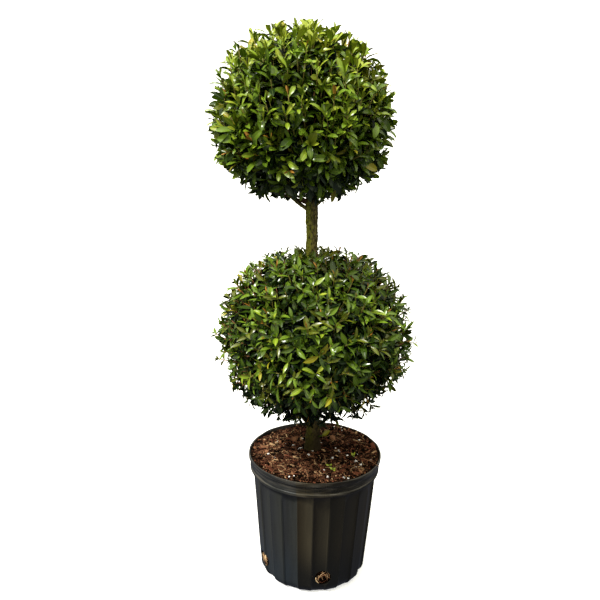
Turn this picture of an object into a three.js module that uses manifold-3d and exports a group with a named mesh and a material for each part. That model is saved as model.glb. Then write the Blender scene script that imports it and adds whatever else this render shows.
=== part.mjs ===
// Potted eugenia topiary: two clipped balls of foliage on one bare stem, in a fluted nursery pot.
// Millimetres, +Z up. The origin is the centre of the pot's underside, and the plant is seen from -Y.
import * as THREE from "three";
import { mergeVertices } from "three/addons/utils/BufferGeometryUtils.js";
import Module from "manifold-3d";

const wasm = await Module();
wasm.setup();

// Gap between pieces that touch on the real plant
const CLEARANCE = 0.3;

// Blow-moulded nursery pot: twelve raised and twelve recessed wall panels under a rolled lip
const POT = {
  height: 286,
  lipRadius: 146,
  mouthRadius: 142.6,
  ridgeRadius: 142.5,
  ridgeHeight: 256,
  bandRadius: 140.5,
  lipDepth: 10,
  lipEdge: 1.2,
  panelTop: 245,
  wallTopRadius: 134.5,
  wallFootRadius: 116.5,
  footRadius: 105,
  cornerHeight: 16,
  wall: 1.6,
  floor: 3,
  flutes: 12,
  fluteDepth: 3.6,
  fluteStepDeg: 2.4,
  drains: 4,
  drainStartDeg: 12,
  drainStepDeg: 94.33,
  drainRadius: 18,
  drainHeight: 41,
};

// Potting mix: fills the pot to just under the lip and rises a little to the stem
const SOIL = { edgeHeight: 283, crownHeight: 288, crownRadius: 30 };

// One stem from the soil, through the lower ball, to its tip inside the upper ball
const TRUNK = {
  foot: SOIL.crownHeight + CLEARANCE,
  rootRadius: 14.2,
  tipRadius: 6.2,
  flare: 5,
  flareHeight: 22,
  rings: 20,
  sides: 9,
};
const TRUNK_PATH = new THREE.CatmullRomCurve3([
  new THREE.Vector3(-6, 0, TRUNK.foot),
  new THREE.Vector3(-6, 0, 335),
  new THREE.Vector3(-11, 4, 520),
  new THREE.Vector3(-17.5, 0, 742),
  new THREE.Vector3(-19.2, -2, 833),
  new THREE.Vector3(-34, 0, 990),
  new THREE.Vector3(-42, 3, 1075),
]);

// Clipped outline of each ball: half its width across and half its height
const BALLS = [
  { name: "lower_ball", centre: new THREE.Vector3(-8, 0, 561), across: 202, tall: 180, seed: 11 },
  { name: "upper_ball", centre: new THREE.Vector3(-44, 0, 1010), across: 180, tall: 174, seed: 29 },
];

// Limbs that leave the stem under a ball: height on the stem, heading from the front, reach and rise
const BOUGHS = [
  { name: "bough_upper_left", leaves: 822, heading: -82, reach: 58, rise: 44, radius: 4.6 },
  { name: "bough_upper_back", leaves: 828, heading: 152, reach: 44, rise: 40, radius: 4.4 },
  { name: "bough_upper_right", leaves: 830, heading: 58, reach: 42, rise: 38, radius: 4.2 },
  { name: "bough_lower_left", leaves: 345, heading: -66, reach: 55, rise: 69, radius: 4.6 },
  { name: "bough_lower_right", leaves: 326, heading: 74, reach: 52, rise: 89, radius: 5.2 },
  { name: "bough_lower_back", leaves: 352, heading: 170, reach: 50, rise: 62, radius: 4.6 },
];
const BOUGH = { tipShare: 0.55, sides: 6, rings: 6, bend: 0.3 };

// How a clipped ball grows: forks inside a dense core, twigs out of each fork, leaves in opposite pairs
const GROWTH = {
  outlinePower: 2.25,
  coreShare: 0.88,
  coreDetail: 3,
  coreRoughness: 0.03,
  forks: 20,
  forkShare: 0.55,
  twigs: 84,
  jitter: 0.08,
  lift: 0.16,
  furthest: 1.035,
  trim: 0.035,
  slack: 0.01,
  twigRootRadius: 2.6,
  twigTipRadius: 1.5,
};
const LEAF = {
  length: 46,
  lengthSpread: 0.14,
  width: 23,
  thickness: 2.2,
  thickest: 0.24,
  widest: 0.46,
  fold: 2.8,
  arch: 3,
  sunk: 1.2,
  spacing: 7,
};
// Opposite pairs from the twig's tip down: distance from the tip and lean away from the twig
const PAIRS = [
  { back: 2, leanDeg: 52 },
  { back: 7, leanDeg: 78 },
];

const FINISH = {
  pot: { color: 0x24262a, roughness: 0.45, metalness: 0 },
  soil: { color: 0x4a3226, roughness: 0.95, metalness: 0 },
  bark: { color: 0x5b5233, roughness: 0.85, metalness: 0 },
  foliage: { color: 0x3f6420, roughness: 0.4, metalness: 0 },
};

const UP = new THREE.Vector3(0, 0, 1);
const GOLDEN_ANGLE = Math.PI * (3 - Math.sqrt(5));

// A repeatable stream of numbers from 0 to 1
function seeded(seed) {
  let state = seed;
  return () => {
    state = (state + 0x6d2b79f5) | 0;
    let mixed = Math.imul(state ^ (state >>> 15), 1 | state);
    mixed = (mixed + Math.imul(mixed ^ (mixed >>> 7), 61 | mixed)) ^ mixed;
    return ((mixed ^ (mixed >>> 14)) >>> 0) / 4294967296;
  };
}

// A closed geometry as a solid that can be joined and cut
function solidOf(geometry) {
  const bare = geometry.clone();
  bare.deleteAttribute("normal");
  bare.deleteAttribute("uv");
  const merged = mergeVertices(bare, 1e-4);
  const corners = merged.index.array;
  const kept = [];
  for (let i = 0; i < corners.length; i += 3) {
    const [a, b, c] = corners.slice(i, i + 3);
    if (a !== b && b !== c && a !== c) kept.push(a, b, c);
  }
  return new wasm.Manifold(
    new wasm.Mesh({
      numProp: 3,
      vertProperties: merged.getAttribute("position").array,
      triVerts: new Uint32Array(kept),
    }),
  );
}

// A solid as a geometry, keeping its largest body and filling any hollow sealed inside it
function geometryOf(solid) {
  const bodies = solid.decompose();
  const body = bodies.reduce((best, next) => (next.volume() > best.volume() ? next : best));
  const mesh = body.getMesh();
  const geometry = new THREE.BufferGeometry();
  geometry.setAttribute("position", new THREE.BufferAttribute(mesh.vertProperties, 3));
  geometry.setIndex(new THREE.BufferAttribute(mesh.triVerts, 1));
  geometry.computeVertexNormals();
  return geometry;
}

function piece(name, geometry, finish) {
  const mesh = new THREE.Mesh(geometry, new THREE.MeshStandardMaterial(finish));
  mesh.name = name;
  return mesh;
}

// The six wall corners of one flute, in degrees from the start of its recessed panel
function fluteCorners() {
  const panel = 180 / POT.flutes;
  const step = POT.fluteStepDeg / 2;
  const recessed = [step, panel / 2, panel - step];
  return [
    ...recessed.map((angle) => ({ angle, out: -0.5 })),
    ...recessed.map((angle) => ({ angle: angle + panel, out: 0.5 })),
  ];
}

// A turned body round Z whose corners follow the flutes: rings of [radius, height, share of the flute]
function flutedBody(rings) {
  const corners = fluteCorners();
  const columns = POT.flutes * corners.length;
  const profile = rings.map(([radius, height]) => new THREE.Vector2(radius, height));
  const body = new THREE.LatheGeometry(profile, columns);
  const position = body.getAttribute("position");
  for (let i = 0; i < position.count; i++) {
    const column = Math.floor(i / rings.length) % columns;
    const [radius, height, share] = rings[i % rings.length];
    const corner = corners[column % corners.length];
    const turn = (Math.floor(column / corners.length) * 360) / POT.flutes + corner.angle;
    const angle = THREE.MathUtils.degToRad(turn);
    const out = radius ? radius + corner.out * POT.fluteDepth * share : 0;
    position.setXYZ(i, out * Math.sin(angle), -out * Math.cos(angle), height);
  }
  return body;
}

function wallRadius(height) {
  const share = (height - POT.cornerHeight) / (POT.panelTop - POT.cornerHeight);
  return THREE.MathUtils.lerp(POT.wallFootRadius, POT.wallTopRadius, share);
}

// The smooth inside of the wall, behind the recessed panels
function innerRadius(height) {
  return wallRadius(height) - POT.fluteDepth / 2 - POT.wall;
}

function makePot() {
  const lipTop = POT.height;
  const lipFoot = POT.height - POT.lipDepth;
  const body = flutedBody([
    [0, 0, 0],
    [POT.footRadius, 0, 0.5],
    [POT.wallFootRadius - 3, POT.cornerHeight / 3, 0.8],
    [POT.wallFootRadius, POT.cornerHeight, 1],
    [POT.wallTopRadius, POT.panelTop, 1],
    [POT.wallTopRadius + 3.5, POT.panelTop + 5, 0],
    [POT.ridgeRadius, POT.ridgeHeight - 2, 0],
    [POT.ridgeRadius, POT.ridgeHeight + 2, 0],
    [POT.bandRadius, POT.ridgeHeight + 5, 0],
    [POT.bandRadius + 0.8, lipFoot - 4, 0],
    [POT.lipRadius - POT.lipEdge, lipFoot, 0],
    [POT.lipRadius, lipTop - POT.lipEdge, 0],
    [POT.lipRadius - POT.lipEdge, lipTop, 0],
    [POT.mouthRadius, lipTop, 0],
    [innerRadius(POT.panelTop), POT.panelTop, 0],
    [innerRadius(POT.cornerHeight), POT.cornerHeight, 0],
    [POT.footRadius, POT.floor, 0],
    [0, POT.floor, 0],
  ]);
  let pot = solidOf(body);
  for (let i = 0; i < POT.drains; i++) {
    const angle = THREE.MathUtils.degToRad(POT.drainStartDeg + i * POT.drainStepDeg);
    const drain = new THREE.CylinderGeometry(POT.drainRadius, POT.drainRadius, 4 * POT.drainRadius, 14);
    drain.translate(0, -wallRadius(POT.drainHeight), 0).rotateZ(angle).translate(0, 0, POT.drainHeight);
    pot = pot.subtract(solidOf(drain));
  }
  return piece("pot", geometryOf(pot), FINISH.pot);
}

function makeSoil() {
  const throat = innerRadius(POT.panelTop);
  const edge = THREE.MathUtils.mapLinear(
    SOIL.edgeHeight,
    POT.panelTop,
    POT.height,
    throat,
    POT.mouthRadius,
  );
  const soil = flutedBody([
    [0, POT.floor + CLEARANCE, 0],
    [POT.footRadius - CLEARANCE, POT.floor + CLEARANCE, 0],
    [innerRadius(POT.cornerHeight) - CLEARANCE, POT.cornerHeight, 0],
    [throat - CLEARANCE, POT.panelTop, 0],
    [edge - CLEARANCE, SOIL.edgeHeight, 0],
    [(edge + SOIL.crownRadius) / 2, THREE.MathUtils.lerp(SOIL.edgeHeight, SOIL.crownHeight, 0.6), 0],
    [SOIL.crownRadius, SOIL.crownHeight, 0],
    [0, SOIL.crownHeight, 0],
  ]);
  return piece("soil", geometryOf(solidOf(soil)), FINISH.soil);
}

// A tapering round limb: a turned profile bent along the limb's curve
function limbGeometry({ curve, radiusAt, rings, sides }, extra = 0) {
  const profile = [new THREE.Vector2(0, 0)];
  for (let i = 0; i <= rings; i++) {
    profile.push(new THREE.Vector2(radiusAt(i / rings) + extra, i / rings));
  }
  profile.push(new THREE.Vector2(0, 1));
  const limb = new THREE.LatheGeometry(profile, sides);
  const position = limb.getAttribute("position");
  const flat = new THREE.Vector3();
  for (let i = 0; i < position.count; i++) {
    flat.fromBufferAttribute(position, i);
    const along = curve.getTangentAt(flat.y);
    const across = new THREE.Vector3(0, 1, 0).cross(along).normalize();
    const third = across.clone().cross(along);
    const place = curve.getPointAt(flat.y).addScaledVector(across, flat.x).addScaledVector(third, flat.z);
    if (flat.y === 0) place.addScaledVector(along, -extra);
    if (flat.y === 1) place.addScaledVector(along, extra);
    position.setXYZ(i, place.x, place.y, place.z);
  }
  return limb;
}

function trunkLimb() {
  const length = TRUNK_PATH.getLength();
  const radiusAt = (share) =>
    THREE.MathUtils.lerp(TRUNK.rootRadius, TRUNK.tipRadius, share * share) +
    TRUNK.flare * Math.exp((-share * length) / TRUNK.flareHeight);
  return { curve: TRUNK_PATH, radiusAt, rings: TRUNK.rings, sides: TRUNK.sides };
}

// The point of the stem's middle line at a height
function stemAt(height) {
  let low = 0;
  let high = 1;
  for (let i = 0; i < 30; i++) {
    const middle = (low + high) / 2;
    if (TRUNK_PATH.getPointAt(middle).z < height) low = middle;
    else high = middle;
  }
  return TRUNK_PATH.getPointAt(low);
}

function boughLimb({ leaves, heading, reach, rise, radius }) {
  const turn = THREE.MathUtils.degToRad(heading);
  const out = new THREE.Vector3(Math.sin(turn), -Math.cos(turn), 0);
  const root = stemAt(leaves);
  const tip = root.clone().addScaledVector(out, reach).addScaledVector(UP, rise);
  const elbow = root.clone().lerp(tip, 0.5).addScaledVector(UP, -BOUGH.bend * rise * 0.5);
  const curve = new THREE.QuadraticBezierCurve3(root, elbow, tip);
  const radiusAt = (share) => THREE.MathUtils.lerp(radius, radius * BOUGH.tipShare, share);
  return { curve, radiusAt, rings: BOUGH.rings, sides: BOUGH.sides };
}

// Distance from the middle of a ball to its clipped outline, which is a little squarer than an ellipse
function outlineReach(ball, direction) {
  const flat = Math.hypot(direction.x, direction.y) / ball.across;
  const tall = Math.abs(direction.z) / ball.tall;
  return (flat ** GROWTH.outlinePower + tall ** GROWTH.outlinePower) ** (-1 / GROWTH.outlinePower);
}

// Directions spread evenly over a sphere
function spreadDirections(count) {
  return Array.from({ length: count }, (_, i) => {
    const z = 1 - (2 * i + 1) / count;
    const flat = Math.sqrt(1 - z * z);
    return new THREE.Vector3(flat * Math.cos(i * GOLDEN_ANGLE), flat * Math.sin(i * GOLDEN_ANGLE), z);
  });
}

// The dense inside of a ball, a little uneven
function coreGeometry(ball, random) {
  const core = new THREE.IcosahedronGeometry(1, GROWTH.coreDetail);
  core.deleteAttribute("normal");
  core.deleteAttribute("uv");
  const shell = mergeVertices(core, 1e-4);
  const position = shell.getAttribute("position");
  const direction = new THREE.Vector3();
  for (let i = 0; i < position.count; i++) {
    direction.fromBufferAttribute(position, i).normalize();
    const uneven = 1 + GROWTH.coreRoughness * (2 * random() - 1);
    direction.multiplyScalar(outlineReach(ball, direction) * GROWTH.coreShare * uneven).add(ball.centre);
    position.setXYZ(i, direction.x, direction.y, direction.z);
  }
  return shell;
}

// A three-sided tapering twig between two points
function twigGeometry(root, tip) {
  const length = root.distanceTo(tip);
  const twig = new THREE.CylinderGeometry(GROWTH.twigTipRadius, GROWTH.twigRootRadius, length, 3);
  const along = tip.clone().sub(root).normalize();
  twig.applyQuaternion(new THREE.Quaternion().setFromUnitVectors(new THREE.Vector3(0, 1, 0), along));
  return twig.translate(...root.clone().lerp(tip, 0.5).toArray());
}

// A leaf of eight faces along +X from its root, folded up along its rib and drooping to its tip
function leafGeometry(length) {
  const leaf = new THREE.OctahedronGeometry(1, 0);
  const scale = length / LEAF.length;
  const position = leaf.getAttribute("position");
  const corner = new THREE.Vector3();
  for (let i = 0; i < position.count; i++) {
    corner.fromBufferAttribute(position, i).round();
    const end = corner.x;
    const middle = corner.y ? LEAF.widest : LEAF.thickest;
    const along = end ? (end + 1) / 2 : middle;
    const raise = corner.y ? LEAF.fold : (corner.z * LEAF.thickness) / 2;
    const droop = end > 0 ? -LEAF.arch : 0;
    position.setXYZ(i, along * length, (corner.y * LEAF.width * scale) / 2, (raise + droop) * scale);
  }
  return leaf;
}

// Where one leaf of a pair sits: its root on the twig, its rib and the way its upper face looks
function leafFrame(node, along, side, leanDeg, length) {
  const lean = THREE.MathUtils.degToRad(leanDeg);
  const rib = along.clone().multiplyScalar(Math.cos(lean)).addScaledVector(side, Math.sin(lean));
  const face = along.clone().addScaledVector(rib, -along.dot(rib)).normalize();
  const width = face.clone().cross(rib);
  const root = node.clone().addScaledVector(rib, -LEAF.sunk);
  const matrix = new THREE.Matrix4().makeBasis(rib, width, face).setPosition(root);
  return { matrix, root, rib, width, length };
}

// The points of a leaf that must stay clear: its tip, along its rib and at its widest edges
function leafPoints({ root, rib, width, length }) {
  const ribPoints = [1, LEAF.widest, 0.3, 0.65, 0.85].map((share) =>
    root.clone().addScaledVector(rib, share * length),
  );
  const edges = [-0.5, 0.5].map((share) => ribPoints[1].clone().addScaledVector(width, share * LEAF.width));
  return [...ribPoints, ...edges];
}

// How far out a point lies, as a share of its ball's outline
function outlineShare(ball, point) {
  const offset = point.clone().sub(ball.centre);
  return offset.length() / outlineReach(ball, offset.clone().normalize());
}

// Whether a leaf stays inside its ball's outline, clear of every limb and of the leaves already there
function leafFits(points, ball, limbs, taken) {
  const apart = (point) => taken.every((other) => other.distanceTo(point) > LEAF.spacing);
  const inside = (point) => outlineShare(ball, point) < GROWTH.furthest + GROWTH.slack;
  return points.every((point) => inside(point) && apart(point) && clearOfLimbs(point, limbs));
}

function clearOfLimbs(point, limbs) {
  const steps = 40;
  return limbs.every(({ curve, radiusAt }) => {
    for (let i = 0; i <= steps; i++) {
      const away = curve.getPointAt(i / steps).distanceTo(point);
      if (away < radiusAt(i / steps) + LEAF.width / 2) return false;
    }
    return true;
  });
}

function pairSide(along, turn) {
  const level = Math.abs(along.z) > 0.9 ? new THREE.Vector3(1, 0, 0) : UP;
  return level.clone().cross(along).normalize().applyAxisAngle(along, turn);
}

// The leaves of a twig, each pair turned a quarter from the last
function twigLeaves(root, tip, turn, length) {
  const along = tip.clone().sub(root).normalize();
  return PAIRS.flatMap(({ back, leanDeg }, order) => {
    const node = tip.clone().addScaledVector(along, -back);
    return [0, 1].map((half) => {
      const side = pairSide(along, turn + (order * Math.PI) / 2 + half * Math.PI);
      return leafFrame(node, along, side, leanDeg, length);
    });
  });
}

// One twig, drawn out until its foremost leaf reaches the clipped outline, and the leaves that fit
function growTwig(ball, fork, direction, random, limbs, taken) {
  const target = GROWTH.furthest - GROWTH.trim * random();
  const length = LEAF.length * (1 - LEAF.lengthSpread * random());
  const turn = random() * Math.PI;
  const root = ball.centre.clone().addScaledVector(fork, outlineReach(ball, fork) * GROWTH.forkShare);
  const reach = outlineReach(ball, direction);
  const tip = ball.centre.clone().addScaledVector(direction, reach * GROWTH.coreShare);
  for (let i = 0; i < 4; i++) {
    const tips = twigLeaves(root, tip, turn, length).map((frame) => leafPoints(frame)[0]);
    const foremost = Math.max(...tips.map((point) => outlineShare(ball, point)));
    tip.addScaledVector(direction, (target - foremost) * reach);
  }
  const leaves = [];
  for (const frame of twigLeaves(root, tip, turn, length)) {
    const points = leafPoints(frame);
    if (!leafFits(points, ball, limbs, taken)) continue;
    taken.push(...points);
    leaves.push(leafGeometry(length).applyMatrix4(frame.matrix));
  }
  return leaves.length ? [twigGeometry(root, tip), ...leaves] : [];
}

function growBall(ball, limbs) {
  const random = seeded(ball.seed);
  const forks = spreadDirections(GROWTH.forks);
  const grown = [coreGeometry(ball, random)];
  const taken = [];
  for (const even of spreadDirections(GROWTH.twigs)) {
    const shift = new THREE.Vector3(random() - 0.5, random() - 0.5, random() - 0.5);
    const direction = even.clone().addScaledVector(shift, 2 * GROWTH.jitter).normalize();
    const fork = forks.reduce((best, next) => (next.dot(direction) > best.dot(direction) ? next : best));
    const lifted = fork.clone().addScaledVector(UP, -GROWTH.lift).normalize();
    grown.push(...growTwig(ball, lifted, direction, random, limbs, taken));
  }
  let mass = wasm.Manifold.union(grown.map(solidOf));
  for (const limb of limbs) mass = mass.subtract(solidOf(limbGeometry(limb, CLEARANCE)));
  return piece(ball.name, geometryOf(mass), FINISH.foliage);
}

function makeBoughs(trunk) {
  const stem = solidOf(limbGeometry(trunk, CLEARANCE));
  return BOUGHS.map((bough) => {
    const limb = boughLimb(bough);
    const wood = solidOf(limbGeometry(limb)).subtract(stem);
    return { limb, mesh: piece(bough.name, geometryOf(wood), FINISH.bark) };
  });
}

const trunk = trunkLimb();
const boughs = makeBoughs(trunk);
const limbs = [trunk, ...boughs.map((bough) => bough.limb)];

const container = new THREE.Group();
container.add(makePot(), makeSoil());

const wood = new THREE.Group();
wood.add(piece("trunk", geometryOf(solidOf(limbGeometry(trunk))), FINISH.bark));
wood.add(...boughs.map((bough) => bough.mesh));

const crown = new THREE.Group();
crown.add(...BALLS.map((ball) => growBall(ball, limbs)));

const topiary = new THREE.Group();
topiary.add(container, wood, crown);

export default topiary;
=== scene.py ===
"""Looks of a potted eugenia topiary: two clipped leaf balls on one stem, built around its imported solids."""

import logging
import math
from dataclasses import dataclass
from enum import Enum

import bpy
import numpy as np
from mathutils import Matrix, Vector


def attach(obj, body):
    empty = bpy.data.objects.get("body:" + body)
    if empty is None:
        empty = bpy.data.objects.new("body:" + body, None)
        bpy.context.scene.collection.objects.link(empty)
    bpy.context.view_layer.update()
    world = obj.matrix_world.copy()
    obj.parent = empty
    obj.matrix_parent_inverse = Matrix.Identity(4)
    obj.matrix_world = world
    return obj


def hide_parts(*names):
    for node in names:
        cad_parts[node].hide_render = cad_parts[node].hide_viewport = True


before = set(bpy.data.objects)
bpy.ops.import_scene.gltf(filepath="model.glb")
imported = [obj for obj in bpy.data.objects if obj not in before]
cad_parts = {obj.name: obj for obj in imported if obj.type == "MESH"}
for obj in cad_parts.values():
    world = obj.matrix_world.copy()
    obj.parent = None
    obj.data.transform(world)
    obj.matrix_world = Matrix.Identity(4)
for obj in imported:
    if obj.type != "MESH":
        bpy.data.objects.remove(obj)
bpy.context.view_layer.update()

Array = np.ndarray
Rgb = tuple[float, float, float]
Place = tuple[float, float, float]

BODY = "root"
MM = 0.001
UP = np.array([0.0, 0.0, 1.0])
GOLDEN_ANGLE = math.pi * (3 - math.sqrt(5))
EVEN_STEP = 0.618
MOST_TRIANGLES = 190_000
LOG = logging.getLogger("topiary")


# Shader expressions

class Field:
    """A shader value that can stand in a Python expression: each operation adds one node."""

    def __init__(self, graph: "Graph", socket: bpy.types.NodeSocket) -> None:
        """Wraps an output socket of a graph."""
        self.graph = graph
        self.socket = socket

    def maths(self, operation: str, *values: "Field | float") -> "Field":
        """Adds a Math node.

        Args:
            operation: Blender's name of the operation.
            values: the operands in order.

        Returns:
            The node's result.
        """
        sockets = dict(enumerate(values))
        return self.graph.add("ShaderNodeMath", {"operation": operation}, sockets)

    def __add__(self, other: "Field | float") -> "Field":
        """Adds a value."""
        return self.maths("ADD", self, other)

    __radd__ = __add__

    def __sub__(self, other: "Field | float") -> "Field":
        """Takes a value away."""
        return self.maths("SUBTRACT", self, other)

    def __rsub__(self, other: float) -> "Field":
        """Takes this value away from a number."""
        return self.maths("SUBTRACT", other, self)

    def __mul__(self, other: "Field | float") -> "Field":
        """Multiplies by a value."""
        return self.maths("MULTIPLY", self, other)

    __rmul__ = __mul__

    def step(self, low: float, high: float) -> "Field":
        """A smooth rise from 0 at low to 1 at high."""
        return self.graph.add("ShaderNodeMapRange", {"interpolation_type": "SMOOTHSTEP"},
                              {"Value": self, "From Min": low, "From Max": high})


class Graph:
    """The node tree of one material or sky."""

    def __init__(self, owner: "bpy.types.Material | bpy.types.World") -> None:
        """Starts on the nodes that Blender gives a new owner.

        Args:
            owner: the new material or sky.
        """
        owner.use_nodes = True
        self.owner = owner
        self.tree = owner.node_tree

    def set_socket(self, node: bpy.types.Node, key: "int | str", value: "Field | float | tuple") -> None:
        """Links a field to an input, or sets a plain value there.

        Args:
            node: the node.
            key: the input's place or name.
            value: the field, number or colour.
        """
        if isinstance(value, Field):
            self.tree.links.new(value.socket, node.inputs[key])
        else:
            node.inputs[key].default_value = value

    def add(self, kind: str, settings: dict, sockets: dict, output: "int | str" = 0) -> Field:
        """Adds one node.

        Args:
            kind: Blender's name of the node type.
            settings: the node's own settings, set first.
            sockets: values or fields for its inputs, by place or name.
            output: the output to go on with, by place or name.

        Returns:
            That output.
        """
        node = self.tree.nodes.new(kind)
        for key, value in settings.items():
            setattr(node, key, value)
        for key, value in sockets.items():
            self.set_socket(node, key, value)
        return Field(self, node.outputs[output])

    def point(self, stretch: Place = (1, 1, 1)) -> Field:
        """The point on the surface in metres, stretched by three factors."""
        place = self.add("ShaderNodeTexCoord", {}, {}, "Object")
        return self.add("ShaderNodeMapping", {}, {"Vector": place, "Scale": stretch})

    def part(self, source: str, axis: int) -> Field:
        """One component of a texture coordinate."""
        place = self.add("ShaderNodeTexCoord", {}, {}, source)
        return self.add("ShaderNodeSeparateXYZ", {}, {0: place}, axis)

    def noise(self, point: Field, scale: float, detail: float = 3, roughness: float = 0.55) -> Field:
        """Cloudy noise from 0 to 1."""
        sockets = {"Vector": point, "Scale": scale, "Detail": detail, "Roughness": roughness}
        return self.add("ShaderNodeTexNoise", {}, sockets)

    def mix(self, share: "Field | float", low: "Field | Rgb", high: "Field | Rgb") -> Field:
        """A colour between two others."""
        ends = [end if isinstance(end, Field) else (*end, 1) for end in (low, high)]
        return self.add("ShaderNodeMix", {"data_type": "RGBA"}, {0: share, 6: ends[0], 7: ends[1]}, 2)

    def bump(self, relief: Field, depth: float) -> Field:
        """A normal bent by a relief of a depth in metres."""
        return self.add("ShaderNodeBump", {}, {"Height": relief, "Distance": depth})

    def finish(self, shader: str, sockets: dict) -> None:
        """Sets inputs of the node that Blender made as the owner's shader."""
        for key, value in sockets.items():
            self.set_socket(self.tree.nodes[shader], key, value)


def painted(graph: Graph, sockets: dict) -> bpy.types.Material:
    """Finishes a material's Principled shader and gives the material."""
    graph.finish("Principled BSDF", sockets)
    return graph.owner


# Finishes

@dataclass(frozen=True)
class PlainFinish:
    """One even colour with its gloss, for small pieces that come in several tints."""

    colour: Rgb
    roughness: float = 0.85
    specular: float = 0.3

    def dress(self, name: str) -> bpy.types.Material:
        """Makes the material.

        Args:
            name: the material's name.

        Returns:
            The material.
        """
        sockets = {"Base Color": (*self.colour, 1), "Roughness": self.roughness,
                   "Specular IOR Level": self.specular}
        return painted(Graph(bpy.data.materials.new(name)), sockets)


@dataclass(frozen=True)
class PotPlastic:
    """Charcoal moulded plastic with flow marks and dust specks, painted browner in front and bluer on the
    left as reflections, and bluer at its foot.

    Each wall panel is palest along its right edge as painted light on its curve, the panels right of the
    front are dark with painted shade, and the collar is streaked with painted reflections.
    """

    # Share of dust colour laid over the whole surface; on the lip's edge it paints a highlight.
    highlight_share: float = 0.0
    panels: int = 24
    seam: float = 0.03
    collar_heights: tuple[float, float] = (0.246, 0.252)
    foot_heights: tuple[float, float] = (0.045, 0.150)
    # Round the wall, the bluish left and browner front colours are painted reflections and the dark right is
    # painted shade; their lit versions paint light on each flute's pale edge. Navy and deep make the foot
    # darker and bluer, and deep also paints shade and the collar's dark streaks. The dark colour also tints
    # the flow marks.
    cool_reflection: Rgb = (0.0250, 0.0270, 0.0300)
    cool_reflection_lit: Rgb = (0.0380, 0.0400, 0.0350)
    navy: Rgb = (0.0235, 0.0310, 0.0385)
    warm_reflection: Rgb = (0.0210, 0.0150, 0.0060)
    warm_reflection_lit: Rgb = (0.0700, 0.0580, 0.0340)
    deep: Rgb = (0.0070, 0.0075, 0.0060)
    dark: Rgb = (0.0115, 0.0098, 0.0045)
    dark_shade_lit: Rgb = (0.0240, 0.0200, 0.0110)
    # Real dust, and the painted sheen of the collar's light streaks and the lip's edge.
    dust_and_sheen: Rgb = (0.0950, 0.0850, 0.0680)

    def dress(self, name: str) -> bpy.types.Material:
        """Makes the material, with dust colour laid over all of it by the painted highlight share.

        Args:
            name: the material's name.

        Returns:
            The material.
        """
        graph = Graph(bpy.data.materials.new(name))
        flow = graph.noise(graph.point((26, 26, 1.0)), 4.0, 4)
        cloud = graph.noise(graph.point(), 9.0, 2)
        speck = graph.noise(graph.point(), 300.0, 2)
        collar = graph.part("Object", 2).step(*self.collar_heights)
        low = 1 - (graph.part("Object", 2) + cloud * 0.02).step(*self.foot_heights)
        across = graph.part("Object", 0)
        panel = across.maths("ARCTAN2", across, 0 - graph.part("Object", 1)) * (self.panels / (2 * math.pi))
        # Painted light across each flute, palest at its right edge; the collar takes a fixed share of it.
        pale = panel.maths("FRACT", panel).step(-0.15, 1.0) * (1 - collar) + collar * 0.6
        left = graph.mix(low * (1 - pale * 0.4), graph.mix(pale, self.cool_reflection, self.cool_reflection_lit), self.navy)
        front = graph.mix(pale, self.warm_reflection, self.warm_reflection_lit)
        # Painted shade on the front panel right of the middle.
        front = graph.mix(panel.step(-self.seam, self.seam) * 0.38, front, self.deep)
        # The panels right of the front: painted shade, lighter at each flute's right edge.
        right = graph.mix(pale, self.dark, self.dark_shade_lit)
        front = graph.mix(panel.step(1 - self.seam, 1 + self.seam), front, right)
        front = graph.mix(low * 0.9, front, self.deep)
        colour = graph.mix(panel.step(-1 - self.seam, self.seam - 1), left, front)
        # Dust specks, plus the share laid over everything, which paints the lip's highlight.
        specks_and_highlight = speck.step(0.60, 0.80) * cloud * 0.35 + self.highlight_share
        streak = graph.mix(flow.step(0.35, 0.75) * 0.30, colour, self.dark)
        # Painted reflections: dark and light horizontal streaks on the collar.
        reflection_streaks = graph.noise(graph.point((1, 1, 13)), 19.0, 2)
        moulded = graph.mix(collar * (1 - reflection_streaks.step(0.34, 0.50)) * 0.75, streak, self.deep)
        moulded = graph.mix(collar * reflection_streaks.step(0.48, 0.66) * 0.7, moulded, self.dust_and_sheen)
        return painted(graph, {
            "Base Color": graph.mix(specks_and_highlight, moulded, self.dust_and_sheen),
            "Roughness": flow * 0.14 + cloud * 0.16 + 0.22 - collar * 0.08,
            "Specular IOR Level": 0.38,
            "Normal": graph.bump(flow * 0.6 + speck * 0.25, 0.0005),
        })


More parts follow.
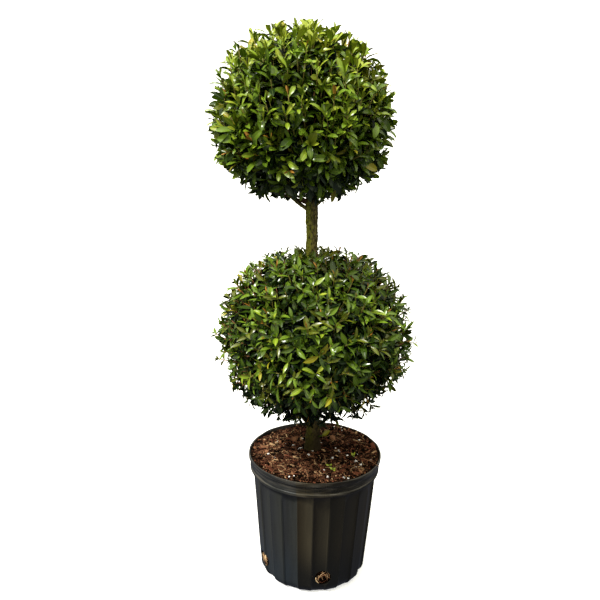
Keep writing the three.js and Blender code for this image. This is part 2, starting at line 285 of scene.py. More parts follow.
@dataclass(frozen=True)
class MossyBark:
    """Olive brown scaly bark with a yellow-green film of moss on one side and painted shade on the other,
    dark near the soil.
    """

    # Colour of the furrows, also laid on one side as painted shade.
    furrow_and_shade: Rgb = (0.055, 0.042, 0.013)
    scale: Rgb = (0.330, 0.260, 0.080)
    pale: Rgb = (0.540, 0.440, 0.190)
    moss: Rgb = (0.420, 0.440, 0.038)
    foot: Rgb = (0.0175, 0.0098, 0.0006)
    dark_foot_heights: tuple[float, float] = (0.30, 0.42)

    def dress(self) -> bpy.types.Material:
        """Makes the material.

        Returns:
            The material.
        """
        graph = Graph(bpy.data.materials.new("mossy_bark"))
        grain = graph.noise(graph.point((1, 1, 0.45)), 420.0, 3, 0.6)
        plate = graph.noise(graph.point((1, 1, 0.6)), 170.0, 3, 0.6)
        patch = graph.noise(graph.point((1, 1, 0.5)), 40.0, 3)
        wood = graph.mix(plate.step(0.38, 0.58), self.furrow_and_shade, self.scale)
        side = graph.part("Normal", 0)
        mossy = (patch * 0.7 + (1 - side.step(-0.75, 0.35)) * 0.55).step(0.42, 0.80) * plate.step(0.28, 0.5)
        green = graph.mix(mossy * 0.8, wood, self.moss)
        green = graph.mix(grain.step(0.54, 0.68) * 0.55, green, self.pale)
        green = graph.mix((1 - grain.step(0.34, 0.47)) * 0.85, green, self.furrow_and_shade)
        # Painted shade: the side facing +X is darkened towards the colour of the furrows.
        green = graph.mix(side.step(0.25, 0.95) * (1 - grain * 0.6), green, self.furrow_and_shade)
        # Darker towards the soil.
        darkening = 1 - graph.part("Object", 2).step(*self.dark_foot_heights)
        return painted(graph, {
            "Base Color": graph.mix(darkening * (plate * 0.1 + 0.9), green, self.foot),
            "Roughness": grain * 0.2 + 0.70,
            "Specular IOR Level": 0.25,
            "Normal": graph.bump(plate * 0.8 + grain * 0.5, 0.0015),
        })


@dataclass(frozen=True)
class BarkMix:
    """The fine dark bed of potting mix under its chips."""

    dark: Rgb = (0.007, 0.004, 0.002)
    brown: Rgb = (0.036, 0.015, 0.007)

    def dress(self) -> bpy.types.Material:
        """Makes the material.

        Returns:
            The material.
        """
        graph = Graph(bpy.data.materials.new("bark_mix"))
        crumb = graph.noise(graph.point(), 330.0, 4, 0.7)
        clod = graph.noise(graph.point(), 60.0, 2)
        return painted(graph, {
            "Base Color": graph.mix(crumb.step(0.40, 0.72) * 0.8 + clod * 0.2, self.dark, self.brown),
            "Roughness": 0.98 - crumb * 0.1,
            "Specular IOR Level": 0.05,
            "Normal": graph.bump(crumb + clod, 0.003),
        })


class LeafTint(Enum):
    """Leaf colours from the darkest and oldest to the newest flush, then rarer tints, ribs and a bluish tint
    for low leaves. The darkest tints also paint shade deep inside and low on the balls, the lighter ones high
    up partly paint light, and the bluish tint paints shade.
    """

    SHADE = PlainFinish((0.0022, 0.0060, 0.0030), 0.50, 0.05)
    DEEP = PlainFinish((0.0090, 0.0235, 0.0030), 0.28, 0.14)
    DARK = PlainFinish((0.0345, 0.0690, 0.0045), 0.21, 0.32)
    MIDDLE = PlainFinish((0.0800, 0.1430, 0.0080), 0.22, 0.42)
    FRESH = PlainFinish((0.1430, 0.2390, 0.0140), 0.25, 0.42)
    BRIGHT = PlainFinish((0.2220, 0.3270, 0.0180), 0.28, 0.42)
    FLUSH = PlainFinish((0.3120, 0.3800, 0.0260), 0.32, 0.40)
    BRONZE = PlainFinish((0.4300, 0.1850, 0.0280), 0.40, 0.30)
    OLIVE = PlainFinish((0.1050, 0.1220, 0.0070), 0.26, 0.42)
    GOLD = PlainFinish((0.3400, 0.3050, 0.0170), 0.32, 0.40)
    DARK_RIB = PlainFinish((0.0600, 0.0980, 0.0180), 0.4)
    MIDDLE_RIB = PlainFinish((0.1900, 0.2600, 0.0300), 0.4)
    BRIGHT_RIB = PlainFinish((0.4600, 0.4900, 0.0700), 0.4)
    COLD = PlainFinish((0.0390, 0.0590, 0.0240), 0.30, 0.42)


class WoodTint(Enum):
    """Colours of the small wood inside the balls."""

    OLD = PlainFinish((0.042, 0.030, 0.016), 0.85)
    YOUNG = PlainFinish((0.250, 0.105, 0.038), 0.6)
    GREEN = PlainFinish((0.210, 0.180, 0.036), 0.55)
    RUSSET = PlainFinish((0.170, 0.082, 0.036), 0.7)


class MixTint(Enum):
    """Colours of the loose bits on the potting mix."""

    BLACK = PlainFinish((0.004, 0.002, 0.001), 0.95, 0.02)
    UMBER = PlainFinish((0.022, 0.009, 0.005), 0.95, 0.04)
    BROWN = PlainFinish((0.066, 0.027, 0.014), 0.92, 0.08)
    RUSSET = PlainFinish((0.140, 0.046, 0.023), 0.9, 0.12)
    TAN = PlainFinish((0.250, 0.115, 0.055), 0.88, 0.15)
    STRAW = PlainFinish((0.490, 0.310, 0.160), 0.85, 0.2)
    WHITE = PlainFinish((0.930, 0.920, 0.890), 0.8)
    CREAM = PlainFinish((0.780, 0.560, 0.310), 0.8)


# Meshes from arrays

@dataclass
class Patch:
    """Part of a mesh as arrays: points in millimetres, face corners, face sizes and face tints."""

    points: Array
    corners: Array
    sizes: Array
    looks: Array

    @staticmethod
    def joined(patches: "list[Patch]") -> "Patch":
        """Puts several patches into one.

        Args:
            patches: the patches in order.

        Returns:
            One patch.
        """
        starts = np.cumsum([0] + [len(patch.points) for patch in patches])
        return Patch(
            np.concatenate([patch.points for patch in patches]),
            np.concatenate([patch.corners + start for patch, start in zip(patches, starts)]),
            np.concatenate([patch.sizes for patch in patches]),
            np.concatenate([patch.looks for patch in patches]),
        )

    @staticmethod
    def repeated(points: Array, faces: list[tuple[int, ...]], looks: Array) -> "Patch":
        """Repeats one set of faces over many copies of a shape.

        Args:
            points: the copies' points, shaped (copies, points, 3).
            faces: the faces of one copy.
            looks: the tint of each face, shaped (copies, faces).

        Returns:
            All copies in one patch.
        """
        copies, count, _ = points.shape
        corners = np.concatenate([np.array(face) for face in faces])
        sizes = np.array([len(face) for face in faces])
        corners = corners + np.arange(copies)[:, None] * count
        return Patch(points.reshape(-1, 3), corners.ravel(), np.tile(sizes, copies), looks.ravel())

    def piece(self, name: str, materials: list[bpy.types.Material], smooth: bool) -> bpy.types.Object:
        """Makes a Blender object of the patch.

        Args:
            name: the object's name.
            materials: the materials that the face tints count through.
            smooth: whether faces shade smoothly.

        Returns:
            The object, in metres.
        """
        mesh = bpy.data.meshes.new(name)
        mesh.vertices.add(len(self.points))
        mesh.vertices.foreach_set("co", (self.points * MM).astype(np.float32).ravel())
        mesh.loops.add(len(self.corners))
        mesh.loops.foreach_set("vertex_index", self.corners.astype(np.int32))
        mesh.polygons.add(len(self.sizes))
        starts = np.concatenate([[0], np.cumsum(self.sizes)[:-1]])
        mesh.polygons.foreach_set("loop_start", starts.astype(np.int32))
        mesh.polygons.foreach_set("material_index", self.looks.astype(np.int32))
        mesh.polygons.foreach_set("use_smooth", np.full(len(self.sizes), smooth))
        for material in materials:
            mesh.materials.append(material)
        mesh.update(calc_edges=True)
        mesh.validate()
        piece = bpy.data.objects.new(name, mesh)
        bpy.context.scene.collection.objects.link(piece)
        return piece


def settle(piece: bpy.types.Object, slot: str, *nodes: str) -> None:
    """Fixes a piece to the plant's one body and hides the CAD nodes that it replaces.

    Args:
        piece: the piece, in place.
        slot: not used.
        nodes: the CAD nodes that it replaces.
    """
    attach(piece, BODY)
    if nodes:
        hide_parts(*nodes)
    LOG.info("%s: %d faces", piece.name, len(piece.data.polygons))


def dressed(tints: type[Enum], prefix: str) -> list[bpy.types.Material]:
    """Makes the materials of all the tints of one kind, in order."""
    return [tint.value.dress(f"{prefix}_{tint.name.lower()}") for tint in tints]


def place_in(tint: Enum) -> int:
    """The place of a tint among its kind."""
    return list(type(tint)).index(tint)


def unit(vectors: Array) -> Array:
    """Vectors scaled to length one."""
    return vectors / np.linalg.norm(vectors, axis=-1, keepdims=True)


def headed(heading: "Array | float", rise: "Array | float") -> Array:
    """Unit vectors from a heading, in degrees from the front towards +X, and a rise in degrees."""
    turn, lift = np.radians(heading), np.radians(rise)
    return np.stack([np.sin(turn) * np.cos(lift), -np.cos(turn) * np.cos(lift), np.sin(lift) + 0 * turn], -1)


def round_turns(count: int) -> Array:
    """Angles spread evenly over a full turn, in radians."""
    return 2 * np.pi * np.arange(count) / count


def dealt(count: int, share: float) -> Array:
    """A mask that picks a share of some things, spread evenly over their order."""
    return np.arange(count) * EVEN_STEP % 1 < share


def ring_faces(rows: int, around: int) -> list[tuple[int, ...]]:
    """The faces between closed rows of points, each row above the last.

    Args:
        rows: how many rows there are.
        around: how many points a row has.

    Returns:
        Corner places of each face.
    """
    faces: list[tuple[int, ...]] = []
    for row in range(rows - 1):
        low = row * around
        for side in range(around):
            after = (side + 1) % around
            faces.append((low + side, low + after, low + around + after, low + around + side))
    return faces


def spread_directions(count: int) -> Array:
    """Directions spread evenly over a sphere.

    Args:
        count: how many.

    Returns:
        Unit vectors, from the top down.
    """
    order = np.arange(count)
    z = 1 - (2 * order + 1) / count
    flat = np.sqrt(1 - z * z)
    return np.stack([flat * np.cos(order * GOLDEN_ANGLE), flat * np.sin(order * GOLDEN_ANGLE), z], axis=1)


def tubes(paths: Array, radii: Array, sides: int, looks: "Array | int" = 0) -> Patch:
    """Round limbs along paths, closed at both ends.

    Args:
        paths: points of each limb, shaped (limbs, stations, 3).
        radii: radius at each station, shaped (limbs, stations) or (limbs, stations, sides).
        sides: how many sides a limb has.
        looks: the tint of each limb.

    Returns:
        All limbs in one patch.
    """
    limbs, stations, _ = paths.shape
    along = unit(np.gradient(paths, axis=1))
    mean = unit(paths[:, -1] - paths[:, 0])
    level = np.where(np.abs(mean[:, 2:]) > 0.8, np.array([[0.0, 1.0, 0.0]]), UP[None])
    across = unit(np.cross(level[:, None], along))
    third = np.cross(along, across)
    turns = round_turns(sides)
    ring = np.cos(turns)[:, None] * across[:, :, None] + np.sin(turns)[:, None] * third[:, :, None]
    points = paths[:, :, None] + radii.reshape(limbs, stations, -1)[..., None] * ring
    ends = [tuple(reversed(range(sides))), tuple(range((stations - 1) * sides, stations * sides))]
    faces = ends + ring_faces(stations, sides)
    tints = np.broadcast_to(np.reshape(looks, (-1, 1)), (limbs, len(faces)))
    return Patch.repeated(points.reshape(limbs, -1, 3), faces, tints)


def curved(start: Array, elbow: Array, end: Array, stations: int) -> Array:
    """Paths that leave start towards elbow and arrive at end.

    Args:
        start: the paths' first points.
        elbow: the points that they bend towards.
        end: their last points.
        stations: how many points each path has.

    Returns:
        Points shaped (paths, stations, 3).
    """
    share = np.linspace(0, 1, stations)[None, :, None]
    return ((1 - share) ** 2 * start[:, None] + 2 * share * (1 - share) * elbow[:, None]
            + share**2 * end[:, None])


def ripple(rng: np.random.Generator, turn: Array, along: Array, rounds: tuple[int, int], pace: float,
           waves: int) -> Array:
    """An uneven field round a limb, about 1 high: a sum of seeded waves that close on themselves.

    Args:
        rng: the seeded numbers.
        turn: the angle round the limb.
        along: the distance along it in millimetres.
        rounds: fewest and most waves round the limb.
        pace: most radians per millimetre along it.
        waves: how many waves are summed.

    Returns:
        The field.
    """
    total = 0 * turn + 0 * along
    for _ in range(waves):
        total = total + np.sin(rng.integers(rounds[0], rounds[1] + 1) * turn
                               + rng.uniform(-pace, pace) * along + rng.uniform(0, 2 * np.pi))
    return total / math.sqrt(waves / 2)


# Stem and boughs

@dataclass
class Stem:
    """The bare stem from the soil to its tip inside the upper ball, and the boughs that leave it."""

    foot: float = 288.3
    tip: float = 1075.0
    root_radius: float = 14.2
    tip_radius: float = 6.2
    flare: float = 5.0
    flare_height: float = 22.0
    crotch: float = 838.0
    bough_tip_share: float = 0.55
    bough_bend: float = 0.3
    bark_depth: float = 0.34
    lobe_depth: float = 1.5
    lobe_height: float = 28.0
    knot_depth: float = 1.3
    seed: int = 5
    knots: tuple[tuple[float, float], ...] = (
        (764, 0.4), (803, 2.9), (872, 4.6), (402, 5.5), (342, 1.2), (322, 3.6),
    )
    swellings: tuple[Place, ...] = ((0, 26, 1.5), (-50, 36, 0.8))
    bends: tuple[Place, ...] = (
        (-6, 0, 288.3), (-6, 0, 335), (-11, 4, 520), (-17.5, 0, 742),
        (-19.2, -2, 833), (-34, 0, 990), (-42, 3, 1075),
    )
    boughs: tuple[tuple[str, float, float, float, float, float], ...] = (
        ("bough_upper_left", 822, -82, 58, 44, 4.6),
        ("bough_upper_back", 828, 152, 44, 40, 4.4),
        ("bough_upper_right", 830, 58, 42, 38, 4.2),
        ("bough_lower_left", 345, -66, 55, 69, 4.6),
        ("bough_lower_right", 326, 74, 52, 89, 5.2),
        ("bough_lower_back", 352, 170, 50, 62, 4.6),
    )

    def middle(self, height: Array) -> Array:
        """Points of the stem's middle line.

        Args:
            height: the heights, in any shape.

        Returns:
            The points, with one more axis.
        """
        bends = np.array(self.bends, float)
        knots = bends[:, 2]
        slopes = np.gradient(bends[:, :2], knots, axis=0)
        height = np.asarray(height, float)
        place = np.clip(np.searchsorted(knots, height) - 1, 0, len(knots) - 2)
        rise = (knots[place + 1] - knots[place])[..., None]
        share = np.clip((height - knots[place])[..., None] / rise, 0, 1)
        flat = ((2 * share**3 - 3 * share**2 + 1) * bends[place, :2]
                + (3 * share**2 - 2 * share**3) * bends[place + 1, :2]
                + (share**3 - 2 * share**2 + share) * rise * slopes[place]
                + (share**3 - share**2) * rise * slopes[place + 1])
        return np.concatenate([flat, height[..., None]], axis=-1)

    def radius(self, height: Array) -> Array:
        """The stem's radius at some heights.

        Args:
            height: the heights.

        Returns:
            The radii, without the bark's relief.
        """
        share = (height - self.foot) / (self.tip - self.foot)
        taper = self.root_radius + (self.tip_radius - self.root_radius) * share**2
        return taper + self.flare * np.exp(-(height - self.foot) / self.flare_height)

    def bough_paths(self, stations: int) -> Array:
        """The middle lines of the boughs.

        Args:
            stations: how many points each has.

        Returns:
            Points shaped (boughs, stations, 3).
        """
        _, leaves, heading, reach, rise, _ = map(np.array, zip(*self.boughs))
        root = self.middle(leaves)
        tip = root + headed(heading, 0) * reach[:, None] + UP * rise[:, None]
        elbow = (root + tip) / 2 - UP * (self.bough_bend * rise * 0.5)[:, None]
        return curved(root, elbow, tip, stations)

    def build_trunk(self, material: bpy.types.Material) -> None:
        """Makes the stem with its bark relief: scales and ridges, knots, and lobes at its foot.

        Args:
            material: its bark.
        """
        rng = np.random.default_rng(self.seed)
        sides, stations = 48, 420
        height = np.linspace(self.foot, self.tip, stations)[:, None]
        turn = round_turns(sides)[None, :]
        relief = self.bark_depth * ripple(rng, turn, height, (5, 12), 0.55, 14)
        relief = relief + self.bark_depth * ripple(rng, turn, height, (8, 17), 1.1, 14)
        relief = relief + 0.40 * ripple(rng, turn, height, (1, 3), 0.12, 6)
        lobes = np.cos(5 * turn + 0.6) + 0.6 * np.cos(3 * turn + 2.0)
        relief = relief + self.lobe_depth * np.exp(-(height - self.foot) / self.lobe_height) * lobes
        for above, reach, depth in self.swellings:
            relief = relief + depth * np.exp(-((height - self.crotch - above) / reach) ** 2)
        for knot, heading in self.knots:
            near = np.exp(-((height - knot) / 6) ** 2 - (np.sin((turn - heading) / 2) / 0.3) ** 2)
            relief = relief + self.knot_depth * near
        radii = self.radius(height) + relief
        patch = tubes(self.middle(height[:, 0])[None], radii[None], sides)
        settle(patch.piece("stem_bark", [material], True), "bark", "trunk")

    def build_boughs(self, material: bpy.types.Material) -> None:
        """Makes the boughs with their bark relief.

        Args:
            material: their bark.
        """
        rng = np.random.default_rng(self.seed + 1)
        sides, stations = 14, 40
        paths = self.bough_paths(stations)
        share = np.linspace(0, 1, stations)[None, :, None]
        root = np.array([bough[5] for bough in self.boughs])[:, None, None]
        turn = round_turns(sides)[None, None, :]
        along = share * 100 + np.arange(len(root))[:, None, None] * 31
        relief = 0.28 * ripple(rng, turn, along, (2, 5), 0.5, 10)
        collar = 1.8 * np.exp(-share * 9)
        radii = root * (1 - (1 - self.bough_tip_share) * share) + relief + collar
        names = [bough[0] for bough in self.boughs]
        settle(tubes(paths, radii, sides).piece("bough_bark", [material], True), "bark", *names)

    def build(self) -> None:
        """Builds and dresses the stem and its boughs."""
        material = MossyBark().dress()
        self.build_trunk(material)
        self.build_boughs(material)


# Leaves

@dataclass(frozen=True)
class LeafCut:
    """A leaf's cut: places along its rib, half widths there, and lines across it from edge to edge.

    Its edges wave by a share of the half width. A cut with four lines has a rib between the middle two.
    """

    stations: tuple[float, ...]
    widths: tuple[float, ...]
    lines: tuple[float, ...]
    wave: float = 0.16
    waviness: float = 6.0

    def faces(self) -> list[tuple[int, ...]]:
        """The faces of one leaf, upper side out, row by row from its root.

        Returns:
            Corner places of each face.
        """
        across = len(self.lines)
        rows = len(self.stations) - 1
        tip = rows * across
        faces: list[tuple[int, ...]] = []
        for row in range(rows):
            for line in range(across - 1):
                here = row * across + line
                ahead = here + across
                last = row == rows - 1
                faces.append((here, tip, here + 1) if last else (here, ahead, ahead + 1, here + 1))
        return faces

    def shape(self, sprig: "Sprig") -> Array:
        """The points of many leaves, bent back along the rib and folded up from it.

        Args:
            sprig: the leaves' places and sizes.

        Returns:
            Points shaped (leaves, points, 3).
        """
        share = np.array(self.stations[:-1])
        turn = sprig.bend[:, None] * share
        forward = sprig.length[:, None] * np.sin(turn) / sprig.bend[:, None]
        back = -sprig.length[:, None] * (1 - np.cos(turn)) / sprig.bend[:, None]
        half = sprig.width[:, None] / 2 * np.array(self.widths[:-1])
        rows = []
        for line in self.lines:
            off = half * line
            wave = half * np.sin(self.waviness * share + sprig.phase[:, None] + line)
            lift = np.abs(off) * sprig.fold[:, None] + (self.wave if abs(line) == 1 else 0) * wave
            rows.append(np.stack([forward + lift * np.sin(turn), off, back + lift * np.cos(turn)], axis=-1))
        local = np.stack(rows, axis=2).reshape(len(turn), -1, 3)
        basis = np.stack([sprig.rib, np.cross(sprig.face, sprig.rib), sprig.face], axis=1)
        blade = sprig.root[:, None] + local @ basis
        return np.concatenate([blade, sprig.tips()[:, None]], axis=1)


SPOON_LEAF = LeafCut(
    (0, 0.26, 0.52, 0.74, 0.91, 1), (0.12, 0.46, 0.92, 0.95, 0.52, 0), (-1, -0.07, 0.07, 1))
OVAL_LEAF = LeafCut(
    (0, 0.20, 0.44, 0.67, 0.87, 1), (0.12, 0.55, 0.99, 0.87, 0.41, 0), (-1, -0.08, 0.08, 1))
PLAIN_LEAF = LeafCut((0, 0.36, 0.72, 1), (0.12, 0.95, 0.75, 0), (-1, 0, 1))


@dataclass
class Sprig:
    """Many leaves as arrays: root, rib and face directions, sizes, bend, fold and tint of each."""

    root: Array
    rib: Array
    face: Array
    length: Array
    width: Array
    bend: Array
    fold: Array
    phase: Array
    tint: Array

    def kept(self, mask: Array) -> "Sprig":
        """The leaves that a mask keeps."""
        return Sprig(**{key: value[mask] for key, value in vars(self).items()})

    @staticmethod
    def joined(sprigs: "list[Sprig]") -> "Sprig":
        """Puts several sets of leaves into one."""
        names = vars(sprigs[0])
        return Sprig(**{key: np.concatenate([vars(sprig)[key] for sprig in sprigs]) for key in names})

    def tips(self) -> Array:
        """The places of the leaves' tips.

        Returns:
            One point for each leaf.
        """
        span = (self.length / self.bend)[:, None]
        bend = self.bend[:, None]
        return self.root + self.rib * span * np.sin(bend) - self.face * span * (1 - np.cos(bend))

    def patch(self, cut: LeafCut) -> Patch:
        """Makes the leaves, with paler ribs where the cut has them.

        Args:
            cut: the leaves' cut.

        Returns:
            All leaves in one patch.
        """
        faces = cut.faces()
        looks = np.repeat(self.tint[:, None], len(faces), axis=1)
        if len(cut.lines) == 4:
            # Leaves painted with the bluish shade tint keep the dark rib.
            blue_shaded = self.tint == place_in(LeafTint.COLD)
            lit = (self.tint > place_in(LeafTint.DARK)) & ~blue_shaded
            pale = lit & (self.tint >= place_in(LeafTint.BRIGHT)) & (self.tint != place_in(LeafTint.OLIVE))
            rib = place_in(LeafTint.DARK_RIB) + lit + pale
            looks[:, 1::3] = rib[:, None]
        return Patch.repeated(cut.shape(self), faces, looks)


@dataclass(frozen=True)
class Pair:
    """An opposite pair of leaves on a shoot: distance from its tip, lean, size, bend and tint shift."""

    back: float
    lean: float
    size: float
    bend: float
    shift: float


# Tint shifts lighten each shoot's newest pairs and darken its lower ones: the tips' flush is real colour, the
# darkening of the lower pairs deeper in the ball is painted shade.
ERECT_PAIRS = (
    Pair(0, 15, 0.66, 0.30, 1.3),
    Pair(6, 32, 0.98, 0.70, 0.8),
    Pair(18, 52, 1.05, 1.15, -0.3),
    Pair(31, 66, 1.0, 1.25, -1.5),
    Pair(45, 76, 0.9, 1.25, -2.4),
)
SPREAD_PAIRS = (
    Pair(0, 18, 0.42, 0.20, 0.9),
    Pair(4, 44, 0.95, 0.45, 0.7),
    Pair(14, 58, 1.05, 0.65, 0.0),
    Pair(26, 68, 1.0, 0.75, -1.3),
    Pair(39, 78, 0.9, 0.75, -2.2),
)
INNER_PAIRS = (Pair(2, 50, 1.0, 0.5, 0.0), Pair(14, 70, 1.0, 0.6, -0.3), Pair(26, 80, 1.0, 0.6, -0.5))

# Stray shoots: heading and rise in degrees, and the share of the outline that each reaches
LOWER_STRAYS = (
    (-84, 4, 1.09), (-88, -4, 1.07), (-80, -10, 1.08), (-92, 10, 1.06),
    (74, 2, 1.10), (75, -3, 1.09), (73, 6, 1.06), (40, -50, 1.06),
    (-60, -70, 1.07), (-20, -72, 1.08), (15, -70, 1.09), (50, -68, 1.08),
    (100, -72, 1.07), (160, -70, 1.06), (-130, -70, 1.06),
    (-40, -66, 1.05), (0, -64, 1.05), (35, -66, 1.05), (75, -66, 1.05),
    (-17, 80, 1.05), (-45, 79, 1.05), (10, 79, 1.05), (-30, 76, 1.06),
    (0, 75, 1.06), (-70, 80, 1.04), (50, 80, 1.04),
)
UPPER_STRAYS = ((90, -22, 1.07), (86, -25, 1.06), (88, -38, 1.07), (92, -41, 1.06), (-90, -2, 1.06))


@dataclass(frozen=True)
class Unevenness:
    """How leaves on shoots differ: spreads of turn, lean, roll and tint, and ranges of the rest."""

    turn: float = 0.2
    lean: float = 9.0
    roll: float = 0.45
    tint: float = 0.5
    length: tuple[float, float] = (0.86, 1.12)
    width: tuple[float, float] = (0.86, 1.15)
    bend: tuple[float, float] = (0.3, 1.7)
    most_bend: tuple[float, float] = (0.05, 1.9)
    fold: tuple[float, float] = (0.15, 0.55)


@dataclass
class Shoots:
    """Leafy shoots as arrays: way out, outline share to reach, tip, axis, turn, size and tone of each."""

    way: Array
    target: Array
    tip: Array
    axis: Array
    turn: Array
    size: Array
    tone: Array


@dataclass
class LeafBall:
    """One clipped ball: boughs to forks, twigs out of each fork, and leafy shoots up to the outline."""

    name: str
    centre: Place
    across: float
    tall: float
    seed: int
    shoots: int
    cut: LeafCut
    pairs: tuple[Pair, ...]
    leaf_length: float
    leaf_width: float
    lift: float
    # Painted light: a shift of all the ball's outer tints, and a change of tint with height.
    fresh: float
    sunny: float
    bronze: float
    olive: float
    gold: float
    green_stalks: float
    mottle: float
    # Painted shade: how many tints darker the low leaves are, and from how far down the ball.
    underside_shade: tuple[float, float]
    # Painted shade: below which way down low leaves may take the bluish tint, and what share of them.
    blue_shade_below: float = -1.0
    blue_shade_share: float = 0.42
    undercut: float = 0.0
    strays: tuple[tuple[float, float, float], ...] = ()
    hollows: tuple[tuple[float, float, float], ...] = ()
    low_limbs: tuple[tuple[float, float, float, float], ...] = ()
    outline_power: float = 2.25
    forks: int = 20
    fork_share: float = 0.55
    fork_drop: float = 0.16
    furthest: float = 1.055
    trim: float = 0.24
    stalk: float = 46.0
    rise_from: float = -0.55
    axis_spread: float = 0.2
    shoot_sizes: tuple[float, float] = (0.64, 1.22)
    inner_targets: tuple[float, float] = (0.84, 0.93)
    limb_girth: tuple[float, float] = (4.2, 2.0)
    low_limb_girth: tuple[float, float] = (3.4, 1.6)
    twig_girth: tuple[float, float] = (1.7, 1.1)
    stalk_girth: tuple[float, float] = (1.4, 1.1)
    stem_gap: float = 4.0
    bronze_width: float = 0.7
    uneven: Unevenness = Unevenness()

    def reach(self, ways: Array) -> Array:
        """Distance from the middle to the clipped outline along some directions.

        Args:
            ways: unit vectors.

        Returns:
            The distances.
        """
        flat = (np.hypot(ways[..., 0], ways[..., 1]) / self.across) ** self.outline_power
        tall = (np.abs(ways[..., 2]) / self.tall) ** self.outline_power
        return (flat + tall) ** (-1 / self.outline_power)

    def fork_points(self) -> tuple[Array, Array]:
        """Directions and places of the forks inside the ball."""
        ways = unit(spread_directions(self.forks) - UP * self.fork_drop)
        return ways, np.array(self.centre) + ways * (self.reach(ways) * self.fork_share)[:, None]

    def grow_boughs(self, stem: Stem, places: Array) -> Array:
        """Paths of the limbs from the stem, or from a bough's tip low in the ball, to the forks.

        Args:
            stem: the stem that carries the ball.
            places: the forks.

        Returns:
            Points shaped (forks, stations, 3).
        """
        tips = stem.bough_paths(2)[:, -1]
        own = tips[np.abs(tips[:, 2] - self.centre[2]) < self.tall]
        aside = np.hypot(places[:, 0] - self.centre[0], places[:, 1] - self.centre[1])
        low = self.centre[2] - self.tall * 0.8
        high = min(self.centre[2] + self.tall * 0.35, stem.tip - 5)
        start = stem.middle(np.clip(places[:, 2] - 0.75 * aside, low, high))
        gaps = np.linalg.norm(places[:, None] - own[None], axis=2)
        from_bough = places[:, 2] < self.centre[2] - self.tall * 0.2
        start = np.where(from_bough[:, None], own[gaps.argmin(axis=1)], start)
        elbow = (start + places) / 2 + np.array([0, 0, -0.12]) * aside[:, None]
        return curved(start, elbow, places, 9)

    def grow_shoots(self, rng: np.random.Generator, ways: Array, target: Array, tone: Array) -> Shoots:
        """Starts shoots that turn up from the way out, most of all high on the ball.

        Args:
            rng: the seeded numbers.
            ways: the shoots' ways out from the middle.
            target: the share of the outline that each is to reach.
            tone: each shoot's tint, as a number along the leaf tints.

        Returns:
            The shoots.
        """
        count = len(ways)
        rising = self.lift * np.clip(ways[:, 2:] - self.rise_from, 0, 1)
        axis = unit(ways + UP * rising + rng.normal(0, self.axis_spread, (count, 3)))
        tip = np.array(self.centre) + ways * (self.reach(ways) * target)[:, None] - axis * self.leaf_length
        turn = rng.uniform(0, np.pi, count)
        return Shoots(ways, target, tip, axis, turn, rng.uniform(*self.shoot_sizes, count), tone)

    def set_leaves(self, rng: np.random.Generator, shoots: Shoots, pairs: tuple[Pair, ...]) -> Sprig:
        """Sets opposite pairs of leaves on shoots, each pair turned a quarter from the last.

        Each shoot is then drawn in or out until its foremost leaf reaches the shoot's target.

        Args:
            rng: the seeded numbers.
            shoots: the shoots, whose tips are moved.
            pairs: the pairs of one shoot, from its tip down.

        Returns:
            All the leaves.
        """
        axis = shoots.axis
        count = len(axis)
        uneven = self.uneven
        level = np.where(np.abs(axis[:, 2:]) > 0.9, np.array([[1.0, 0, 0]]), UP[None])
        first = unit(np.cross(level, axis))
        second = np.cross(axis, first)
        sets = []
        for order, pair in enumerate(pairs):
            for half in (0, 1):
                turn = shoots.turn + (order / 2 + half) * np.pi + rng.normal(0, uneven.turn, count)
                side = np.cos(turn)[:, None] * first + np.sin(turn)[:, None] * second
                lean = np.radians(pair.lean + rng.normal(0, uneven.lean, count))[:, None]
                rib = unit(np.cos(lean) * axis + np.sin(lean) * side)
                face = unit(axis - (axis * rib).sum(1, keepdims=True) * rib)
                roll = rng.normal(0, uneven.roll, count)[:, None]
                face = np.cos(roll) * face + np.sin(roll) * np.cross(rib, face)
                length = self.leaf_length * pair.size * shoots.size * rng.uniform(*uneven.length, count)
                tint = shoots.tone + pair.shift + rng.normal(0, uneven.tint, count)
                sets.append(Sprig(
                    root=shoots.tip - axis * pair.back,
                    rib=rib,
                    face=face,
                    length=length,
                    width=length * self.leaf_width / self.leaf_length * rng.uniform(*uneven.width, count),
                    bend=np.clip(pair.bend * rng.uniform(*uneven.bend, count), *uneven.most_bend),
                    fold=rng.uniform(*uneven.fold, count),
                    phase=rng.uniform(0, 2 * np.pi, count),
                    tint=np.clip(np.round(tint), 0, place_in(LeafTint.FLUSH)).astype(int),
                ))
        sprig = Sprig.joined(sets)
        offset = sprig.tips().reshape(len(sets), count, 3) - np.array(self.centre)
        foremost = (np.linalg.norm(offset, axis=2) / self.reach(unit(offset))).max(axis=0)
        move = shoots.way * ((shoots.target - foremost) * self.reach(shoots.way))[:, None]
        shoots.tip = shoots.tip + move
        sprig.root = sprig.root + np.tile(move, (len(sets), 1))
        return sprig

    def clear_of_stem(self, stem: Stem, sprig: Sprig) -> Sprig:
        """Drops the leaves that would touch the stem.

        Args:
            stem: the stem.
            sprig: the leaves.

        Returns:
            The leaves that stay.
        """
        shares = np.array([0.25, 0.6, 1.0])[:, None]
        points = sprig.root[:, None] + (sprig.tips() - sprig.root)[:, None] * shares
        aside = np.linalg.norm((points - stem.middle(points[..., 2]))[..., :2], axis=-1)
        near = (aside < stem.radius(points[..., 2]) + self.stem_gap) & (points[..., 2] < stem.tip)
        return sprig.kept(~near.any(axis=1))

    def filled(self, ways: Array) -> Array:
        """Leaves out the directions that a hollow takes up.

        Args:
            ways: unit vectors.

        Returns:
            Those outside every hollow.
        """
        for heading, rise, wide in self.hollows:
            ways = ways[ways @ headed(heading, rise) < math.cos(math.radians(wide))]
        return ways

